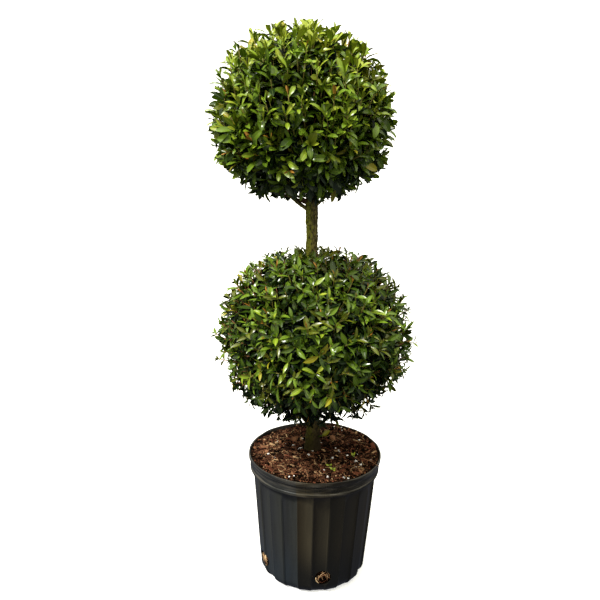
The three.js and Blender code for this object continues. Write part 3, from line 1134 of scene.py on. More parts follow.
    def build_wood(self, stem: Stem, shoots: list[Shoots], wood: list[bpy.types.Material]) -> None:
        """Makes the boughs, twigs and shoot stalks inside the ball.

        Args:
            stem: the stem that carries the ball.
            shoots: its shoots, outer and inner.
            wood: the small wood's materials.
        """
        ways, forks = self.fork_points()
        boughs = self.grow_boughs(stem, forks)
        taper = np.linspace(*self.limb_girth, boughs.shape[1])
        limbs = tubes(boughs, np.tile(taper, (len(boughs), 1)), 7)
        tips = np.concatenate([some.tip for some in shoots])
        axis = np.concatenate([some.axis for some in shoots])
        roots = tips - axis * self.stalk
        nearest = (unit(roots - np.array(self.centre)) @ ways.T).argmax(axis=1)
        start = forks[nearest]
        elbow = start + 0.45 * (roots - start) + ways[nearest] * 14
        taper = np.linspace(*self.twig_girth, 4)
        twigs = tubes(curved(start, elbow, roots, 4), np.tile(taper, (len(tips), 1)), 3)
        green = dealt(len(tips), self.green_stalks)
        tints = np.where(green, place_in(WoodTint.GREEN), place_in(WoodTint.YOUNG))
        stalks = tubes(np.stack([roots, tips], axis=1), np.tile(self.stalk_girth, (len(tips), 1)), 3, tints)
        if self.low_limbs:
            leaves, heading, reach, rise = np.array(self.low_limbs, float).T
            start = stem.middle(leaves)
            end = start + headed(heading, 0) * reach[:, None] + UP * rise[:, None]
            elbow = (start + end) / 2 + UP * 6
            girth = np.tile(np.linspace(*self.low_limb_girth, 10), (len(start), 1))
            low = tubes(curved(start, elbow, end, 10), girth, 7, place_in(WoodTint.RUSSET))
            limbs = Patch.joined([limbs, low])
        settle(limbs.piece(f"{self.name}_boughs", wood, True), "bark")
        settle(Patch.joined([twigs, stalks]).piece(f"{self.name}_twigs", wood, True), "bark")

    def outer_shoots(self, rng: np.random.Generator) -> Shoots:
        """Starts the shoots that make up the clipped outline, with the strays that stand out of it.

        Args:
            rng: the seeded numbers.

        Returns:
            The shoots.
        """
        ways = self.filled(unit(spread_directions(self.shoots) + rng.normal(0, 0.03, (self.shoots, 3))))
        target = self.furthest - self.trim * rng.random(len(ways)) ** 2
        target = target - self.undercut * np.clip(-ways[:, 2], 0, 1) ** 2
        if self.strays:
            heading, rise, share = np.array(self.strays, float).T
            ways = np.concatenate([ways, headed(heading, rise)])
            target = np.concatenate([target, share])
        # Painted light: all outer tints of the ball shift by one amount and change with height.
        tone = place_in(LeafTint.MIDDLE) + self.fresh + self.sunny * ways[:, 2]
        tone = tone + rng.normal(0, self.mottle, len(ways))
        # Painted shade: the tints low on the ball are darker.
        darker, below = self.underside_shade
        tone = tone - darker * np.clip((-ways[:, 2] - below) / 0.3, 0, 1)
        return self.grow_shoots(rng, ways, target, tone)

    def deal_rare_tints(self, rng: np.random.Generator, ways: Array, leaves: Sprig) -> None:
        """Gives some shoots ageing, bronze or golden leaves, and paints some low leaves a bluish shade tint.

        Args:
            rng: the seeded numbers.
            ways: the shoots' ways out from the middle.
            leaves: their leaves, whose tints are changed.
        """
        ageing = np.tile(rng.random(len(ways)) < self.olive, 2 * len(self.pairs))
        leaves.tint[ageing & (leaves.tint > place_in(LeafTint.DARK))] = place_in(LeafTint.OLIVE)
        newest = np.flatnonzero(np.tile(rng.random(len(ways)) < self.bronze, 2))
        leaves.tint[newest] = place_in(LeafTint.BRONZE)
        leaves.width[newest] *= self.bronze_width
        golden = np.flatnonzero(np.tile(rng.random(len(ways)) < self.gold, 2)) + 2 * len(ways)
        leaves.tint[golden] = place_in(LeafTint.GOLD)
        # Painted shade: a share of the low leaves take the bluish tint.
        blue_shaded = np.tile(ways[:, 2] < self.blue_shade_below, 2 * len(self.pairs))
        blue_shaded = blue_shaded & (leaves.tint >= place_in(LeafTint.DEEP))
        leaves.tint[blue_shaded & dealt(len(blue_shaded), self.blue_shade_share)] = place_in(LeafTint.COLD)

    def build(self, stem: Stem, green: list[bpy.types.Material], wood: list[bpy.types.Material]) -> None:
        """Builds and dresses the ball.

        Args:
            stem: the stem that carries it.
            green: the leaf materials.
            wood: the small wood's materials.
        """
        rng = np.random.default_rng(self.seed)
        outer = self.outer_shoots(rng)
        leaves = self.set_leaves(rng, outer, self.pairs)
        self.deal_rare_tints(rng, outer.way, leaves)
        deep = self.filled(spread_directions(self.shoots // 2))
        count = len(deep)
        target = rng.uniform(*self.inner_targets, count)
        # Inner shoots take the darkest tints: painted shade deep in the ball.
        inner = self.grow_shoots(rng, deep, target, rng.normal(0.6, 0.5, count))
        old_shaded = self.set_leaves(rng, inner, INNER_PAIRS)
        self.build_wood(stem, [outer, inner], wood)
        leaves = self.clear_of_stem(stem, leaves)
        order = np.argsort(leaves.root[:, 0], kind="stable")
        per_leaf = sum(len(face) - 2 for face in self.cut.faces())
        parts = np.array_split(order, math.ceil(len(order) * per_leaf / MOST_TRIANGLES))
        for number, part in enumerate(parts, start=1):
            piece = leaves.kept(part).patch(self.cut).piece(f"{self.name}_leaves_{number}", green, True)
            settle(piece, "foliage", *([self.name] if number == 1 else []))
        old_shaded = self.clear_of_stem(stem, old_shaded)
        settle(old_shaded.patch(PLAIN_LEAF).piece(f"{self.name}_inner_leaves", green, True), "foliage")


# Pot

@dataclass
class NurseryPot:
    """The round moulded pot: a rolled lip over a banded collar, fluted wall panels and drain holes."""

    flutes: int = 12
    flute_depth: float = 3.6
    flute_step: float = 1.8
    panel_top: float = 245.0
    panel_foot: float = 4.0
    panel_arch: float = 14.0
    panel_fade: float = 6.0
    panel_offset: float = 0.35
    flatness: float = 1.5
    floor_radius: float = 100.0
    wall_dent: float = 0.3
    collar_dent: float = 0.45
    collar_dents_from: float = 258.0
    sway: float = 0.7
    sway_from: float = 262.0
    sway_rise: float = 20.0
    # Dust colour that paints a highlight on the lip's edge.
    lip_highlight_share: float = 0.28
    crease_angle: float = 28.0
    lip_edge: float = 284.5
    row_gap: float = 7.0
    drains: int = 4
    drain_start: float = 12.0
    drain_step: float = 94.33
    drain_radius: float = 18.0
    drain_height: float = 41.0
    seed: int = 17
    outline: tuple[Place, ...] = (
        (0, 0, 0), (105, 0, 5), (116.5, 14, 14), (134.5, 245, 2), (137.5, 249.5, 1.5), (142.2, 251, 1.4),
        (142.4, 256.4, 1.1), (140.5, 258.5, 2), (140.9, 273, 2.5), (144.8, 276, 2), (146, 286, 1.1),
        (143, 286, 1.2), (141.8, 279, 3), (131.1, 245, 6), (113.1, 16, 12), (105, 3, 6), (0, 3, 0),
    )

    def profile(self) -> Array:
        """The outline with its corners rounded and its long runs divided.

        Returns:
            Rows of radius and height.
        """
        corners = np.array(self.outline, float)
        rows = [corners[0, :2]]
        for before, here, after in zip(corners, corners[1:], corners[2:]):
            back, ahead = before[:2] - here[:2], after[:2] - here[:2]
            cut = min(here[2], 0.48 * np.linalg.norm(back), 0.48 * np.linalg.norm(ahead))
            start = here[:2] + unit(back) * cut
            end = here[:2] + unit(ahead) * cut
            steps = max(1, int(np.linalg.norm(start - rows[-1]) / self.row_gap))
            rows += [rows[-1] + (start - rows[-1]) * step / steps for step in range(1, steps)]
            for share in np.linspace(0, 1, 5):
                rows.append((1 - share) ** 2 * start + 2 * share * (1 - share) * here[:2] + share**2 * end)
        rows.append(corners[-1, :2])
        return np.array(rows)

    def columns(self) -> tuple[Array, Array, Array]:
        """The wall's corners round the pot.

        Returns:
            Angles, how far each stands out as a share of the flute, and angles from the panel's middle.
        """
        panel = 180 / self.flutes
        step = self.flute_step / 2
        inside = np.linspace(step, panel - step, 7)
        angles, outs, offsets = [], [], []
        for order in range(2 * self.flutes):
            side = 0.5 if order % 2 else -0.5
            angles += [*(order * panel + inside), (order + 1) * panel]
            outs += [side] * len(inside) + [0]
            offsets += [*(inside - panel / 2), panel / 2]
        return np.radians(angles), np.array(outs), np.radians(offsets)

    def shell(self) -> Patch:
        """The pot's wall, floor and lip.

        Returns:
            One closed shell.
        """
        rows = self.profile()
        angles, outs, offsets = self.columns()
        radius, height = rows[1:-1, 0][:, None], rows[1:-1, 1][:, None]
        outside = np.arange(len(radius))[:, None] < np.argmax(height)
        half = math.radians(90 / self.flutes)
        top = self.panel_top + 2 - self.panel_arch * (offsets / half)[None] ** 4
        share = np.clip((top - height) / self.panel_fade, 0, 1) * np.clip(height / self.panel_foot, 0.4, 1)
        share = share * outside * (radius > self.floor_radius)
        flat = radius * (math.cos(half) / np.cos(offsets)[None] - 1) + self.panel_offset
        rng = np.random.default_rng(self.seed)
        dents = self.wall_dent * ripple(rng, angles[None], height, (2, 7), 0.03, 12)
        wavy = ripple(rng, angles[None], height, (8, 21), 0.12, 14)
        dents = dents + self.collar_dent * wavy * np.clip((height - self.collar_dents_from) / 6, 0, 1)
        out = radius + share * (outs * self.flute_depth + self.flatness * flat) + dents * outside
        sway = np.sin(2 * angles + 2.2) + 0.5 * np.sin(5 * angles)
        sway = np.clip((height - self.sway_from) / self.sway_rise, 0, 1) * sway
        ring = np.stack([out * np.sin(angles), -out * np.cos(angles), height + self.sway * sway], -1)
        count = len(angles)
        points = np.concatenate([ring.reshape(-1, 3), [[0, 0, rows[0, 1]], [0, 0, rows[-1, 1]]]])
        low, high = len(points) - 2, len(points) - 1
        last = (len(radius) - 1) * count
        faces: list[tuple[int, ...]] = []
        looks: list[bool] = []
        for side in range(count):
            after = (side + 1) % count
            faces += [(low, after, side), (high, last + side, last + after)]
            looks += [False, False]
            for row in range(len(radius) - 1):
                here = row * count
                faces.append((here + side, here + after, here + count + after, here + count + side))
                # Faces of the lip's top outer edge take the second material, which paints a highlight there.
                looks.append(bool(outside[row, 0] and height[row, 0] > self.lip_edge))
        return Patch.repeated(points[None], faces, np.array([looks], int))

    def drain_ways(self) -> Array:
        """The directions that the drain holes look in."""
        return headed(self.drain_start + np.arange(self.drains) * self.drain_step, 0)

    def drill(self, shell: bpy.types.Object) -> None:
        """Cuts the round drain holes through the low wall.

        Args:
            shell: the pot's shell.
        """
        out = self.drain_ways()
        start = out * 90 + UP * self.drain_height
        paths = np.stack([start, start + out * 50], axis=1)
        drills = tubes(paths, np.full((self.drains, 2), self.drain_radius), 40)
        cutter = drills.piece("drills", [], False)
        cut = shell.modifiers.new("drain_holes", "BOOLEAN")
        cut.operation = "DIFFERENCE"
        cut.solver = "EXACT"
        cut.object = cutter
        drilled = bpy.data.meshes.new_from_object(shell.evaluated_get(bpy.context.evaluated_depsgraph_get()))
        shell.modifiers.clear()
        shell.data = drilled
        bpy.data.objects.remove(cutter)

    def build(self) -> None:
        """Builds and dresses the pot."""
        # The second material paints a highlight on the lip's edge.
        wall, edges = PotPlastic().dress("pot_plastic"), PotPlastic(self.lip_highlight_share).dress("pot_edges")
        shell = self.shell().piece("pot_shell", [wall, edges], True)
        self.drill(shell)
        shell.data.set_sharp_from_angle(angle=math.radians(self.crease_angle))
        settle(shell, "pot", "pot")


# Potting mix

@dataclass(frozen=True)
class Litter:
    """Loose bits of a kind: count, sides, margin, length, share across and through, tilt, tint odds."""

    count: int
    sides: int
    margin: float
    length: tuple[float, float]
    width: tuple[float, float]
    thick: tuple[float, float]
    tilt: float
    odds: tuple[float, ...]


@dataclass
class DrainFill:
    """Sticks and fibres that show in the drain holes: a pale curl in the first, a pale chip in the rest."""

    fibres: int = 32
    odds: tuple[float, ...] = (0.42, 0.22, 0.06, 0.06, 0.07, 0.17)
    depth: tuple[float, float] = (113.5, 115.0)
    pale_ahead: float = 1.5
    spread: float = 16.0
    room: float = 17.5
    half_share: tuple[float, float] = (0.4, 0.95)
    curl: float = 0.3
    girth: tuple[float, float] = (0.4, 0.85)
    taper: tuple[float, ...] = (0.6, 1, 1, 1, 0.9, 0.5)
    chip_depth: float = 115.5
    chip_heights: Place = (-8.0, 0.0, 11.0)
    chip_girth: Place = (1.5, 3.4, 1.0)
    curl_depth: float = 116.5
    curl_radius: float = 15.5
    curl_turns: tuple[float, float] = (172.0, 238.0)
    curl_girth: tuple[float, ...] = (0.6, 1.1, 1.2, 1.2, 1.1, 0.6)
    seed: int = 10

    def sticks(self, rng: np.random.Generator, hole: Array, out: Array) -> Patch:
        """Sticks laid criss-cross behind one hole.

        Args:
            rng: the seeded numbers.
            hole: the middle of the hole's height on the pot's axis.
            out: the way that the hole looks.

        Returns:
            All sticks in one patch.
        """
        count = self.fibres
        looks = rng.choice(len(self.odds), count, p=self.odds)
        side = np.cross(UP, out)
        spin = rng.uniform(0, 2 * np.pi, count)
        ahead = np.cos(spin)[:, None] * side + np.sin(spin)[:, None] * UP
        turned = np.cross(out, ahead)
        depth = rng.uniform(*self.depth, count) + self.pale_ahead * (looks >= place_in(MixTint.TAN))
        middle = out * depth[:, None] + hole
        aside = rng.uniform(-self.spread, self.spread, (count, 1))
        middle = middle + turned * aside
        half = rng.uniform(*self.half_share, (count, 1)) * np.sqrt(self.room**2 - aside**2)
        elbow = middle + turned * half * rng.normal(0, self.curl, (count, 1)) + out * 2
        paths = curved(middle - ahead * half, elbow, middle + ahead * half, len(self.taper))
        return tubes(paths, rng.uniform(*self.girth, (count, 1)) * np.array(self.taper), 5, looks)

    def chip(self, rng: np.random.Generator, hole: Array, out: Array) -> Patch:
        """One upright pale chip behind a hole.

        Args:
            rng: the seeded numbers.
            hole: the middle of the hole's height on the pot's axis.
            out: the way that the hole looks.

        Returns:
            The chip.
        """
        path = out * self.chip_depth + hole + np.array(self.chip_heights)[:, None] * UP
        path = path[None] + np.cross(UP, out) * rng.normal(0, 2, (1, 3, 1))
        return tubes(path, np.array([self.chip_girth]), 6, place_in(MixTint.CREAM))

    def rim_curl(self, hole: Array, out: Array) -> Patch:
        """One pale curl along the lower left of a hole's rim.

        Args:
            hole: the middle of the hole's height on the pot's axis.
            out: the way that the hole looks.

        Returns:
            The curl.
        """
        turn = np.radians(np.linspace(*self.curl_turns, len(self.curl_girth)))[:, None]
        rim = self.curl_radius * (np.cos(turn) * np.cross(UP, out) + np.sin(turn) * UP)
        path = out * self.curl_depth + hole + rim
        return tubes(path[None], np.array([self.curl_girth]), 6, place_in(MixTint.CREAM))

    def build(self, pot: NurseryPot, tints: list[bpy.types.Material]) -> None:
        """Builds and dresses the fill of all holes.

        Args:
            pot: the pot with the holes.
            tints: the loose bits' materials.
        """
        rng = np.random.default_rng(self.seed)
        hole = UP * pot.drain_height
        fills = []
        for order, out in enumerate(pot.drain_ways()):
            fills.append(self.sticks(rng, hole, out))
            fills.append(self.chip(rng, hole, out) if order else self.rim_curl(hole, out))
        settle(Patch.joined(fills).piece("drain_fibres", tints, True), "soil")


@dataclass
class PottingMix:
    """Bark mix that fills the pot: a bumpy bed under crumbs, chips, shreds and white beads."""

    edge_height: float = 283.0
    edge_radius: float = 141.0
    crown_height: float = 288.5
    crown_radius: float = 30.0
    pile: float = 6.0
    pile_reach: float = 34.0
    clod: float = 0.45
    clods: int = 9
    bare_radius: float = 19.0
    stem_place: tuple[float, float] = (-6.0, 0.0)
    # Painted shade on the loose bits: where it centres, how far it reaches, and the most of the bits it
    # darkens.
    shade_place: tuple[float, float] = (24.0, 12.0)
    shade_reach: tuple[float, float] = (75.0, 62.0)
    shade_share: float = 0.75
    swells: tuple[tuple[float, float, float, float], ...] = ((72, 78, 62, 4.5), (-92, 98, 58, -5.0))
    shreds: int = 1300
    shred_margin: float = 12.0
    shred_half: tuple[float, float] = (4.0, 14.0)
    shred_curl: float = 0.55
    shred_rise: tuple[float, float] = (0.4, 2.8)
    shred_girth: tuple[float, float] = (0.35, 0.9)
    shred_odds: tuple[float, ...] = (0.05, 0.13, 0.24, 0.2, 0.24, 0.14)
    twig_girth: tuple[float, float] = (1.3, 0.6)
    rim_twig: tuple[Place, Place, Place] = ((102, -38, 291), (124, -52, 294), (142, -77, 288))
    seed: int = 3
    sides: tuple[tuple[float, float], ...] = ((104, 3.3), (112.6, 16), (130.6, 245))
    marked: tuple[tuple[float, float, float, float, MixTint], ...] = (
        (19, -12, 10, 60, MixTint.STRAW), (6, -24, 9, 20, MixTint.RUSSET),
        (-90, -91, 15, 70, MixTint.RUSSET), (-39, -43, 15, 85, MixTint.STRAW),
        (-107, -17, 14, 40, MixTint.TAN), (130, 27, 18, 15, MixTint.RUSSET),
        (98, -89, 13, 75, MixTint.TAN), (-112, 8, 16, 65, MixTint.TAN),
        (-96, 22, 17, 30, MixTint.STRAW), (42, 51, 22, 100, MixTint.TAN), (-48, 40, 20, 120, MixTint.TAN),
    )

    def litter(self) -> dict[str, Litter]:
        """The kinds of loose bits.

        Returns:
            Each kind by the name of its piece.
        """
        return {
            # Nearly half the crumbs are black: dark bark crumbs that also paint the shade in the gaps between
            # bits.
            "soil_crumbs": Litter(8200, 4, 2.0, (1.6, 4.6), (0.4, 0.9), (0.4, 0.8), 0.7,
                                  (0.47, 0.22, 0.13, 0.09, 0.075, 0.015, 0)),
            "bark_chips": Litter(420, 7, 8, (5, 15), (0.3, 0.65), (0.14, 0.3), 0.5,
                                 (0.18, 0.28, 0.24, 0.17, 0.11, 0.02, 0)),
            "wood_slivers": Litter(620, 6, 12, (7, 23), (0.06, 0.13), (0.05, 0.1), 0.26,
                                   (0, 0.06, 0.2, 0.2, 0.34, 0.2, 0)),
            "white_beads": Litter(42, 6, 6, (2.6, 5.4), (0.8, 1.0), (0.7, 1.0), 0.6, (0, 0, 0, 0, 0, 0, 1)),
        }

    def surface(self, x: Array, y: Array) -> Array:
        """Height of the bed: a low mound with clods, a heap, a dip at the back left and a pile at the stem.

        Args:
            x: places across.
            y: places front to back.

        Returns:
            The heights.
        """
        rng = np.random.default_rng(self.seed)
        aside = np.hypot(x, y)
        share = np.clip((self.edge_radius - aside) / (self.edge_radius - self.crown_radius), 0, 1)
        mound = self.edge_height + (self.crown_height - self.edge_height) * share**0.8
        near = np.hypot(x - self.stem_place[0], y - self.stem_place[1])
        clods = 0 * x
        for _ in range(self.clods):
            pace_x, pace_y = rng.uniform(-0.15, 0.15, 2)
            clods = clods + np.sin(x * pace_x + y * pace_y + rng.uniform(0, 6.3))
        for middle_x, middle_y, wide, tall in self.swells:
            mound = mound + tall * np.exp(-((x - middle_x) ** 2 + (y - middle_y) ** 2) / wide**2)
        return mound + self.pile * np.exp(-(near / self.pile_reach) ** 2) + self.clod * clods

    def scatter(self, rng: np.random.Generator, count: int, margin: float) -> Array:
        """Points spread over the bed, clear of the stem.

        Args:
            rng: the seeded numbers.
            count: how many.
            margin: how far they stay from the bed's edge.

        Returns:
            Points on the bed.
        """
        nearest = (self.bare_radius / self.edge_radius) ** 2
        aside = np.sqrt(rng.uniform(nearest, 1, count)) * (self.edge_radius - margin)
        turn = rng.uniform(0, 2 * np.pi, count)
        x = aside * np.cos(turn) + self.stem_place[0] * (1 - aside / self.edge_radius)
        y = aside * np.sin(turn)
        return np.stack([x, y, self.surface(x, y)], axis=1)

    def shaded_near_stem(self, rng: np.random.Generator, places: Array, looks: Array) -> Array:
        """Makes bits darker as painted shade, most of all right of the stem.

        Args:
            rng: the seeded numbers.
            places: the bits' places.
            looks: their tints.

        Returns:
            The new tints.
        """
        away = (places[:, :2] - self.shade_place) / self.shade_reach
        darkening = np.exp(-away[:, 0] ** 2 - away[:, 1] ** 2)
        darker = np.maximum(looks - rng.integers(1, 3, len(looks)), 0)
        in_shade = (rng.random(len(looks)) < self.shade_share * darkening) & (looks < place_in(MixTint.WHITE))
        return np.where(in_shade, darker, looks)

    def bits(self, rng: np.random.Generator, kind: Litter) -> Patch:
        """Irregular slabs of one kind lying on the bed.

        Args:
            rng: the seeded numbers.
            kind: what they are like.

        Returns:
            All bits in one patch.
        """
        count = kind.count
        length = rng.uniform(*kind.length, count)
        shares = [np.ones(count), rng.uniform(*kind.width, count), rng.uniform(*kind.thick, count)]
        sizes = length[:, None] * np.stack(shares, axis=1)
        places = self.scatter(rng, count, kind.margin)
        places[:, 2] += sizes[:, 2] * 0.3
        looks = self.shaded_near_stem(rng, places, rng.choice(len(kind.odds), count, p=kind.odds))
        return self.slabs(rng, kind, places, sizes, rng.uniform(0, 360, count), looks)

    def lone_chips(self, rng: np.random.Generator, kind: Litter) -> Patch:
        """The few chips that catch the eye, each in its own place.

        Args:
            rng: the seeded numbers.
            kind: what they are like.

        Returns:
            All of them in one patch.
        """
        x, y, length, heading = np.array([chip[:4] for chip in self.marked], float).T
        sizes = length[:, None] * np.array([1, 0.55, 0.22])
        places = np.stack([x, y, self.surface(x, y) + 2.5], axis=1)
        looks = np.array([place_in(chip[4]) for chip in self.marked])
        return self.slabs(rng, kind, places, sizes, heading, looks)

    def slabs(self, rng: np.random.Generator, kind: Litter, places: Array, sizes: Array, heading: Array,
              looks: Array) -> Patch:
        """Irregular many-sided slabs.

        Args:
            rng: the seeded numbers.
            kind: how many sides they have and how far they tilt.
            places: their middles.
            sizes: their lengths, widths and thicknesses.
            heading: the way each points, in degrees.
            looks: the tint of each.

        Returns:
            All slabs in one patch.
        """
        count = len(places)
        sides = kind.sides
        turn = 2 * np.pi * (np.arange(2 * sides) + 0.5) / sides
        turn = turn + rng.uniform(-0.35, 0.35, (count, 2 * sides))
        layer = np.broadcast_to(np.where(np.arange(2 * sides) < sides, -0.8, 0.8), turn.shape)
        slab = np.stack([np.cos(turn), np.sin(turn), layer], axis=-1)
        local = slab * (1 + rng.uniform(-0.30, 0.35, (count, 2 * sides, 3))) * sizes[:, None] * 0.56
        normal = unit(np.stack([*rng.normal(0, kind.tilt, (2, count)), np.ones(count)], axis=1))
        along = headed(heading, 0)
        along = unit(along - (along * normal).sum(1, keepdims=True) * normal)
        basis = np.stack([along, np.cross(normal, along), normal], axis=1)
        faces = [tuple(reversed(range(sides))), tuple(range(sides, 2 * sides))] + ring_faces(2, sides)
        tints = np.repeat(looks[:, None], len(faces), axis=1)
        return Patch.repeated(places[:, None] + local @ basis, faces, tints)

    def shredded(self, rng: np.random.Generator) -> Patch:
        """Thin curled shreds of bark lying on the bed, and one twig across the rim.

        Args:
            rng: the seeded numbers.

        Returns:
            All shreds in one patch.
        """
        count = self.shreds
        middle = self.scatter(rng, count, self.shred_margin)
        ahead = headed(rng.uniform(0, 360, count), 0)
        side = np.cross(UP, ahead)
        half = rng.uniform(*self.shred_half, count)[:, None]
        elbow = middle + side * half * rng.normal(0, self.shred_curl, (count, 1))
        paths = curved(middle - ahead * half, elbow, middle + ahead * half, 5)
        inside = np.minimum(1, (self.edge_radius - 3) / np.linalg.norm(paths[..., :2], axis=2))
        paths[..., :2] *= inside[..., None]
        rise = rng.uniform(*self.shred_rise, (count, 1)) + rng.normal(0, 0.7, (count, 5))
        paths[..., 2] = self.surface(paths[..., 0], paths[..., 1]) + rise
        radii = rng.uniform(*self.shred_girth, (count, 1)) * np.array([0.5, 1, 1, 0.9, 0.4])
        looks = rng.choice(len(self.shred_odds), count, p=self.shred_odds)
        looks = self.shaded_near_stem(rng, middle, looks)
        start, elbow, end = (np.array([place], float) for place in self.rim_twig)
        girth = np.linspace(*self.twig_girth, 8)[None]
        twig = tubes(curved(start, elbow, end, 8), girth, 5, place_in(MixTint.TAN))
        return Patch.joined([tubes(paths, radii, 3, looks), twig])

    def build_bed(self) -> None:
        """Makes the bed, with the sides that show behind the drain holes."""
        around, rings = 120, 48
        turn = round_turns(around)
        aside = np.linspace(self.edge_radius, 2, rings)[:, None]
        x, y = aside * np.cos(turn), aside * np.sin(turn)
        top = np.stack([x, y, self.surface(x, y)], axis=-1)
        r, z = np.array(self.sides)[:, :, None].transpose(1, 0, 2)
        wall = np.stack([r * np.cos(turn), r * np.sin(turn), z + 0 * turn], axis=-1)
        rows = np.concatenate([wall, top])
        points = rows.reshape(-1, 3)
        ends = [tuple(reversed(range(around))), tuple(range(len(points) - around, len(points)))]
        faces = ends + ring_faces(len(rows), around)
        patch = Patch.repeated(points[None], faces, np.zeros((1, len(faces)), int))
        settle(patch.piece("soil_bed", [BarkMix().dress()], True), "soil", "soil")

    def build(self, pot: NurseryPot) -> None:
        """Builds and dresses the potting mix.

        Args:
            pot: the pot that it fills.
        """
        self.build_bed()
        tints = dressed(MixTint, "mix")
        rng = np.random.default_rng(self.seed + 1)
        kinds = self.litter()
        for name, kind in kinds.items():
            settle(self.bits(rng, kind).piece(name, tints, False), "soil")
        settle(self.lone_chips(rng, kinds["bark_chips"]).piece("lone_chips", tints, False), "soil")
        settle(self.shredded(rng).piece("bark_shreds", tints, True), "soil")
        DrainFill().build(pot, tints)


@dataclass
class Weeds:
    """Seedlings on the bed, and one young leaf on a stalk from the stem's foot."""

    places: tuple[tuple[float, float], ...] = ((32, -74), (39, -92), (84, -27))
    leaves: int = 3
    leaf_lengths: tuple[float, float] = (7.0, 10.0)
    leaf_rises: tuple[float, float] = (15.0, 55.0)
    leaf_share: float = 0.46
    stand: float = 3.0
    sunk: float = 5.0
    stalk_girth: tuple[float, float] = (1.0, 0.7)
    stalk_share: float = 0.2
    young_root: Place = (14, -10, 327)
    young_heading: float = 86.0
    young_rise: float = 42.0
    young_length: float = 23.0
    young_foot: Place = (0, -3, 320)
    young_girth: tuple[float, float] = (2.3, 1.6)
    front: Place = (-0.2, -0.9, 0.6)
    seed: int = 12

    def grow(self, mix: PottingMix) -> Sprig:
        """Sets the seedlings' leaves, and the young leaf as the last one.

        Args:
            mix: the bed that they grow on.

        Returns:
            All leaves.
        """
        rng = np.random.default_rng(self.seed)
        roots, ribs, sizes = [], [], []
        for x, y in self.places:
            for leaf in range(self.leaves):
                roots.append((x, y, float(mix.surface(np.array(x), np.array(y))) + self.stand))
                heading = rng.uniform(0, 30) + leaf * 360 / self.leaves
                ribs.append(headed(heading, rng.uniform(*self.leaf_rises)))
                sizes.append(rng.uniform(*self.leaf_lengths))
        roots.append(self.young_root)
        ribs.append(headed(self.young_heading, self.young_rise))
        sizes.append(self.young_length)
        rib = np.array(ribs)
        count = len(rib)
        front = np.array(self.front)
        sprig = Sprig(
            root=np.array(roots, float),
            rib=rib,
            face=unit(front - (rib @ front)[:, None] * rib),
            length=np.array(sizes),
            width=np.array(sizes) * self.leaf_share,
            bend=np.full(count, 0.5),
            fold=np.full(count, 0.25),
            phase=rng.uniform(0, 6, count),
            tint=np.full(count, place_in(LeafTint.FLUSH)),
        )
        sprig.tint[-1] = place_in(LeafTint.GOLD)
        return sprig

    def build(self, mix: PottingMix, green: list[bpy.types.Material]) -> None:
        """Builds and dresses the weeds.

        Args:
            mix: the bed that they grow on.
            green: the leaf materials.
        """
        sprig = self.grow(mix)
        foot = sprig.root - UP * self.sunk
        foot[-1] = self.young_foot
        tip = sprig.root + sprig.rib * sprig.length[:, None] * self.stalk_share
        girth = np.tile(self.stalk_girth, (len(foot), 1))
        girth[-1] = self.young_girth
        stalks = tubes(np.stack([foot, tip], axis=1), girth, 5, place_in(LeafTint.DARK))
        settle(Patch.joined([sprig.patch(OVAL_LEAF), stalks]).piece("seedlings", green, True), "foliage")


# Stage

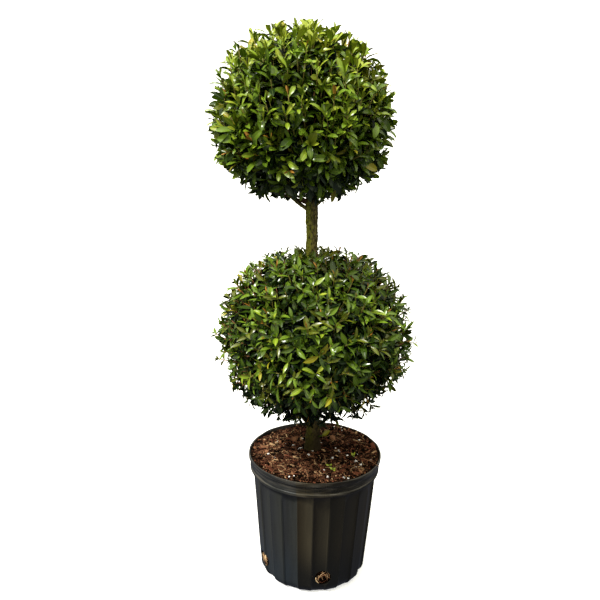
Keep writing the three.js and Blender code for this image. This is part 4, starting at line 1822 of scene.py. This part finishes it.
@dataclass
class Studio:
    """Pale seamless floor, soft light from above and the camera."""

    camera_place: Place = (0.0, -1.6218, 1.1288)
    camera_pitch: float = 0.296
    camera_yaw: float = -0.0243
    camera_roll: float = 0.019
    lens: float = 48.664
    floor_colour: Rgb = (0.86, 0.86, 0.855)
    floor_glow: float = 0.5
    zenith: Rgb = (1.98, 1.93, 1.60)
    ground: Rgb = (0.112, 0.118, 0.150)
    sun: float = 3.7
    sun_angle: float = 9.0
    sun_colour: Rgb = (1.0, 0.98, 0.94)
    sun_way: Place = (0.62, 0.36, -1.0)
    sensor: float = 36.0
    floor_flat: float = 4500.0
    floor_bend: float = 3000.0
    floor_rim: tuple[float, float] = (9200.0, 5800.0)

    def build_floor(self) -> None:
        """Makes the floor: flat round the plant and swept up far from it on all sides."""
        sweep = np.radians(np.linspace(0, 62, 16))
        aside = np.concatenate([[10], self.floor_flat + self.floor_bend * np.sin(sweep), self.floor_rim[:1]])
        height = np.concatenate([[0], self.floor_bend * (1 - np.cos(sweep)), self.floor_rim[1:]])
        around = 96
        turn = round_turns(around)
        rows = np.stack([aside[:, None] * np.cos(turn), aside[:, None] * np.sin(turn),
                         np.broadcast_to(height[:, None], (len(aside), around))], axis=-1)
        faces = [tuple(range(around))] + [face[::-1] for face in ring_faces(len(aside), around)]
        graph = Graph(bpy.data.materials.new("floor_paper"))
        cloud = graph.noise(graph.point(), 2.0, 2)
        material = painted(graph, {"Base Color": (*self.floor_colour, 1), "Roughness": cloud * 0.1 + 0.85,
                                   "Specular IOR Level": 0.1, "Emission Color": (1, 1, 1, 1),
                                   "Emission Strength": self.floor_glow})
        patch = Patch.repeated(rows.reshape(1, -1, 3), faces, np.zeros((1, len(faces)), int))
        floor = patch.piece("floor", [material], True)
        floor.visible_diffuse = False
        floor.visible_glossy = False
        floor.visible_shadow = False

    def build_light(self) -> None:
        """Makes a sky, bright overhead and dark below, and one soft sun from the front's upper left."""
        world = bpy.data.worlds.new("sky")
        graph = Graph(world)
        overhead = graph.part("Generated", 2).step(-0.05, 1.05)
        graph.finish("Background", {"Color": graph.mix(overhead, self.ground, self.zenith), "Strength": 1.0})
        bpy.context.scene.world = world
        lamp = bpy.data.lights.new("sun", "SUN")
        lamp.energy = self.sun
        lamp.angle = math.radians(self.sun_angle)
        lamp.color = self.sun_colour
        sun = bpy.data.objects.new("sun", lamp)
        sun.rotation_euler = Vector(self.sun_way).to_track_quat("-Z", "Y").to_euler()
        bpy.context.scene.collection.objects.link(sun)

    def build_camera(self) -> None:
        """Sets the camera where the photograph was taken from."""
        pitch, yaw = self.camera_pitch, self.camera_yaw
        ahead = Vector((math.sin(yaw) * math.cos(pitch), math.cos(yaw) * math.cos(pitch), -math.sin(pitch)))
        right = Vector((math.cos(yaw), -math.sin(yaw), 0))
        rise = right.cross(ahead)
        c, s = math.cos(self.camera_roll), math.sin(self.camera_roll)
        lens = bpy.data.cameras.new("camera")
        lens.lens = self.lens
        lens.sensor_width = self.sensor
        camera = bpy.data.objects.new("camera", lens)
        turned = Matrix((c * right + s * rise, c * rise - s * right, -ahead)).transposed().to_4x4()
        camera.matrix_world = Matrix.Translation(self.camera_place) @ turned
        bpy.context.scene.collection.objects.link(camera)
        bpy.context.scene.camera = camera

    def build(self) -> None:
        """Builds the stage, its light and its camera."""
        self.build_camera()
        self.build_floor()
        self.build_light()
        bpy.context.scene.view_settings.view_transform = "Standard"


def main() -> None:
    """Builds the plant, its pot and the stage in order."""
    logging.basicConfig(level=logging.INFO, format="%(name)s %(message)s")
    Studio().build()
    green = dressed(LeafTint, "leaf")
    wood = dressed(WoodTint, "wood")
    pot = NurseryPot()
    pot.build()
    mix = PottingMix()
    mix.build(pot)
    Weeds().build(mix, green)
    stem = Stem()
    stem.build()
    lower = LeafBall(
        "lower_ball", (-8, 0, 561), 202, 180, seed=11, shoots=1150, cut=OVAL_LEAF, pairs=SPREAD_PAIRS,
        leaf_length=31, leaf_width=9.2, lift=0.7, fresh=-0.4, sunny=-0.2, bronze=0.22, olive=0.28,
        gold=0.03, green_stalks=0.35, mottle=0.8, underside_shade=(2.9, 0.26), blue_shade_below=-0.42,
        strays=LOWER_STRAYS)
    upper = LeafBall(
        "upper_ball", (-44, 0, 1010), 180, 174, seed=29, shoots=900, cut=SPOON_LEAF, pairs=ERECT_PAIRS,
        leaf_length=39.5, leaf_width=11.4, lift=1.8, fresh=0.46, sunny=1.2, bronze=0.05, olive=0.05,
        gold=0.07, green_stalks=0.85, mottle=0.9, underside_shade=(0.4, 0.58), blue_shade_below=-0.48, undercut=0.055,
        hollows=((-30, -73, 18),),
        strays=UPPER_STRAYS,
        low_limbs=((834, -92, 84, 26), (838, -64, 76, 34), (842, -120, 70, 44)))
    for ball in (lower, upper):
        ball.build(stem, green, wood)


if __name__ == "__main__":
    main()
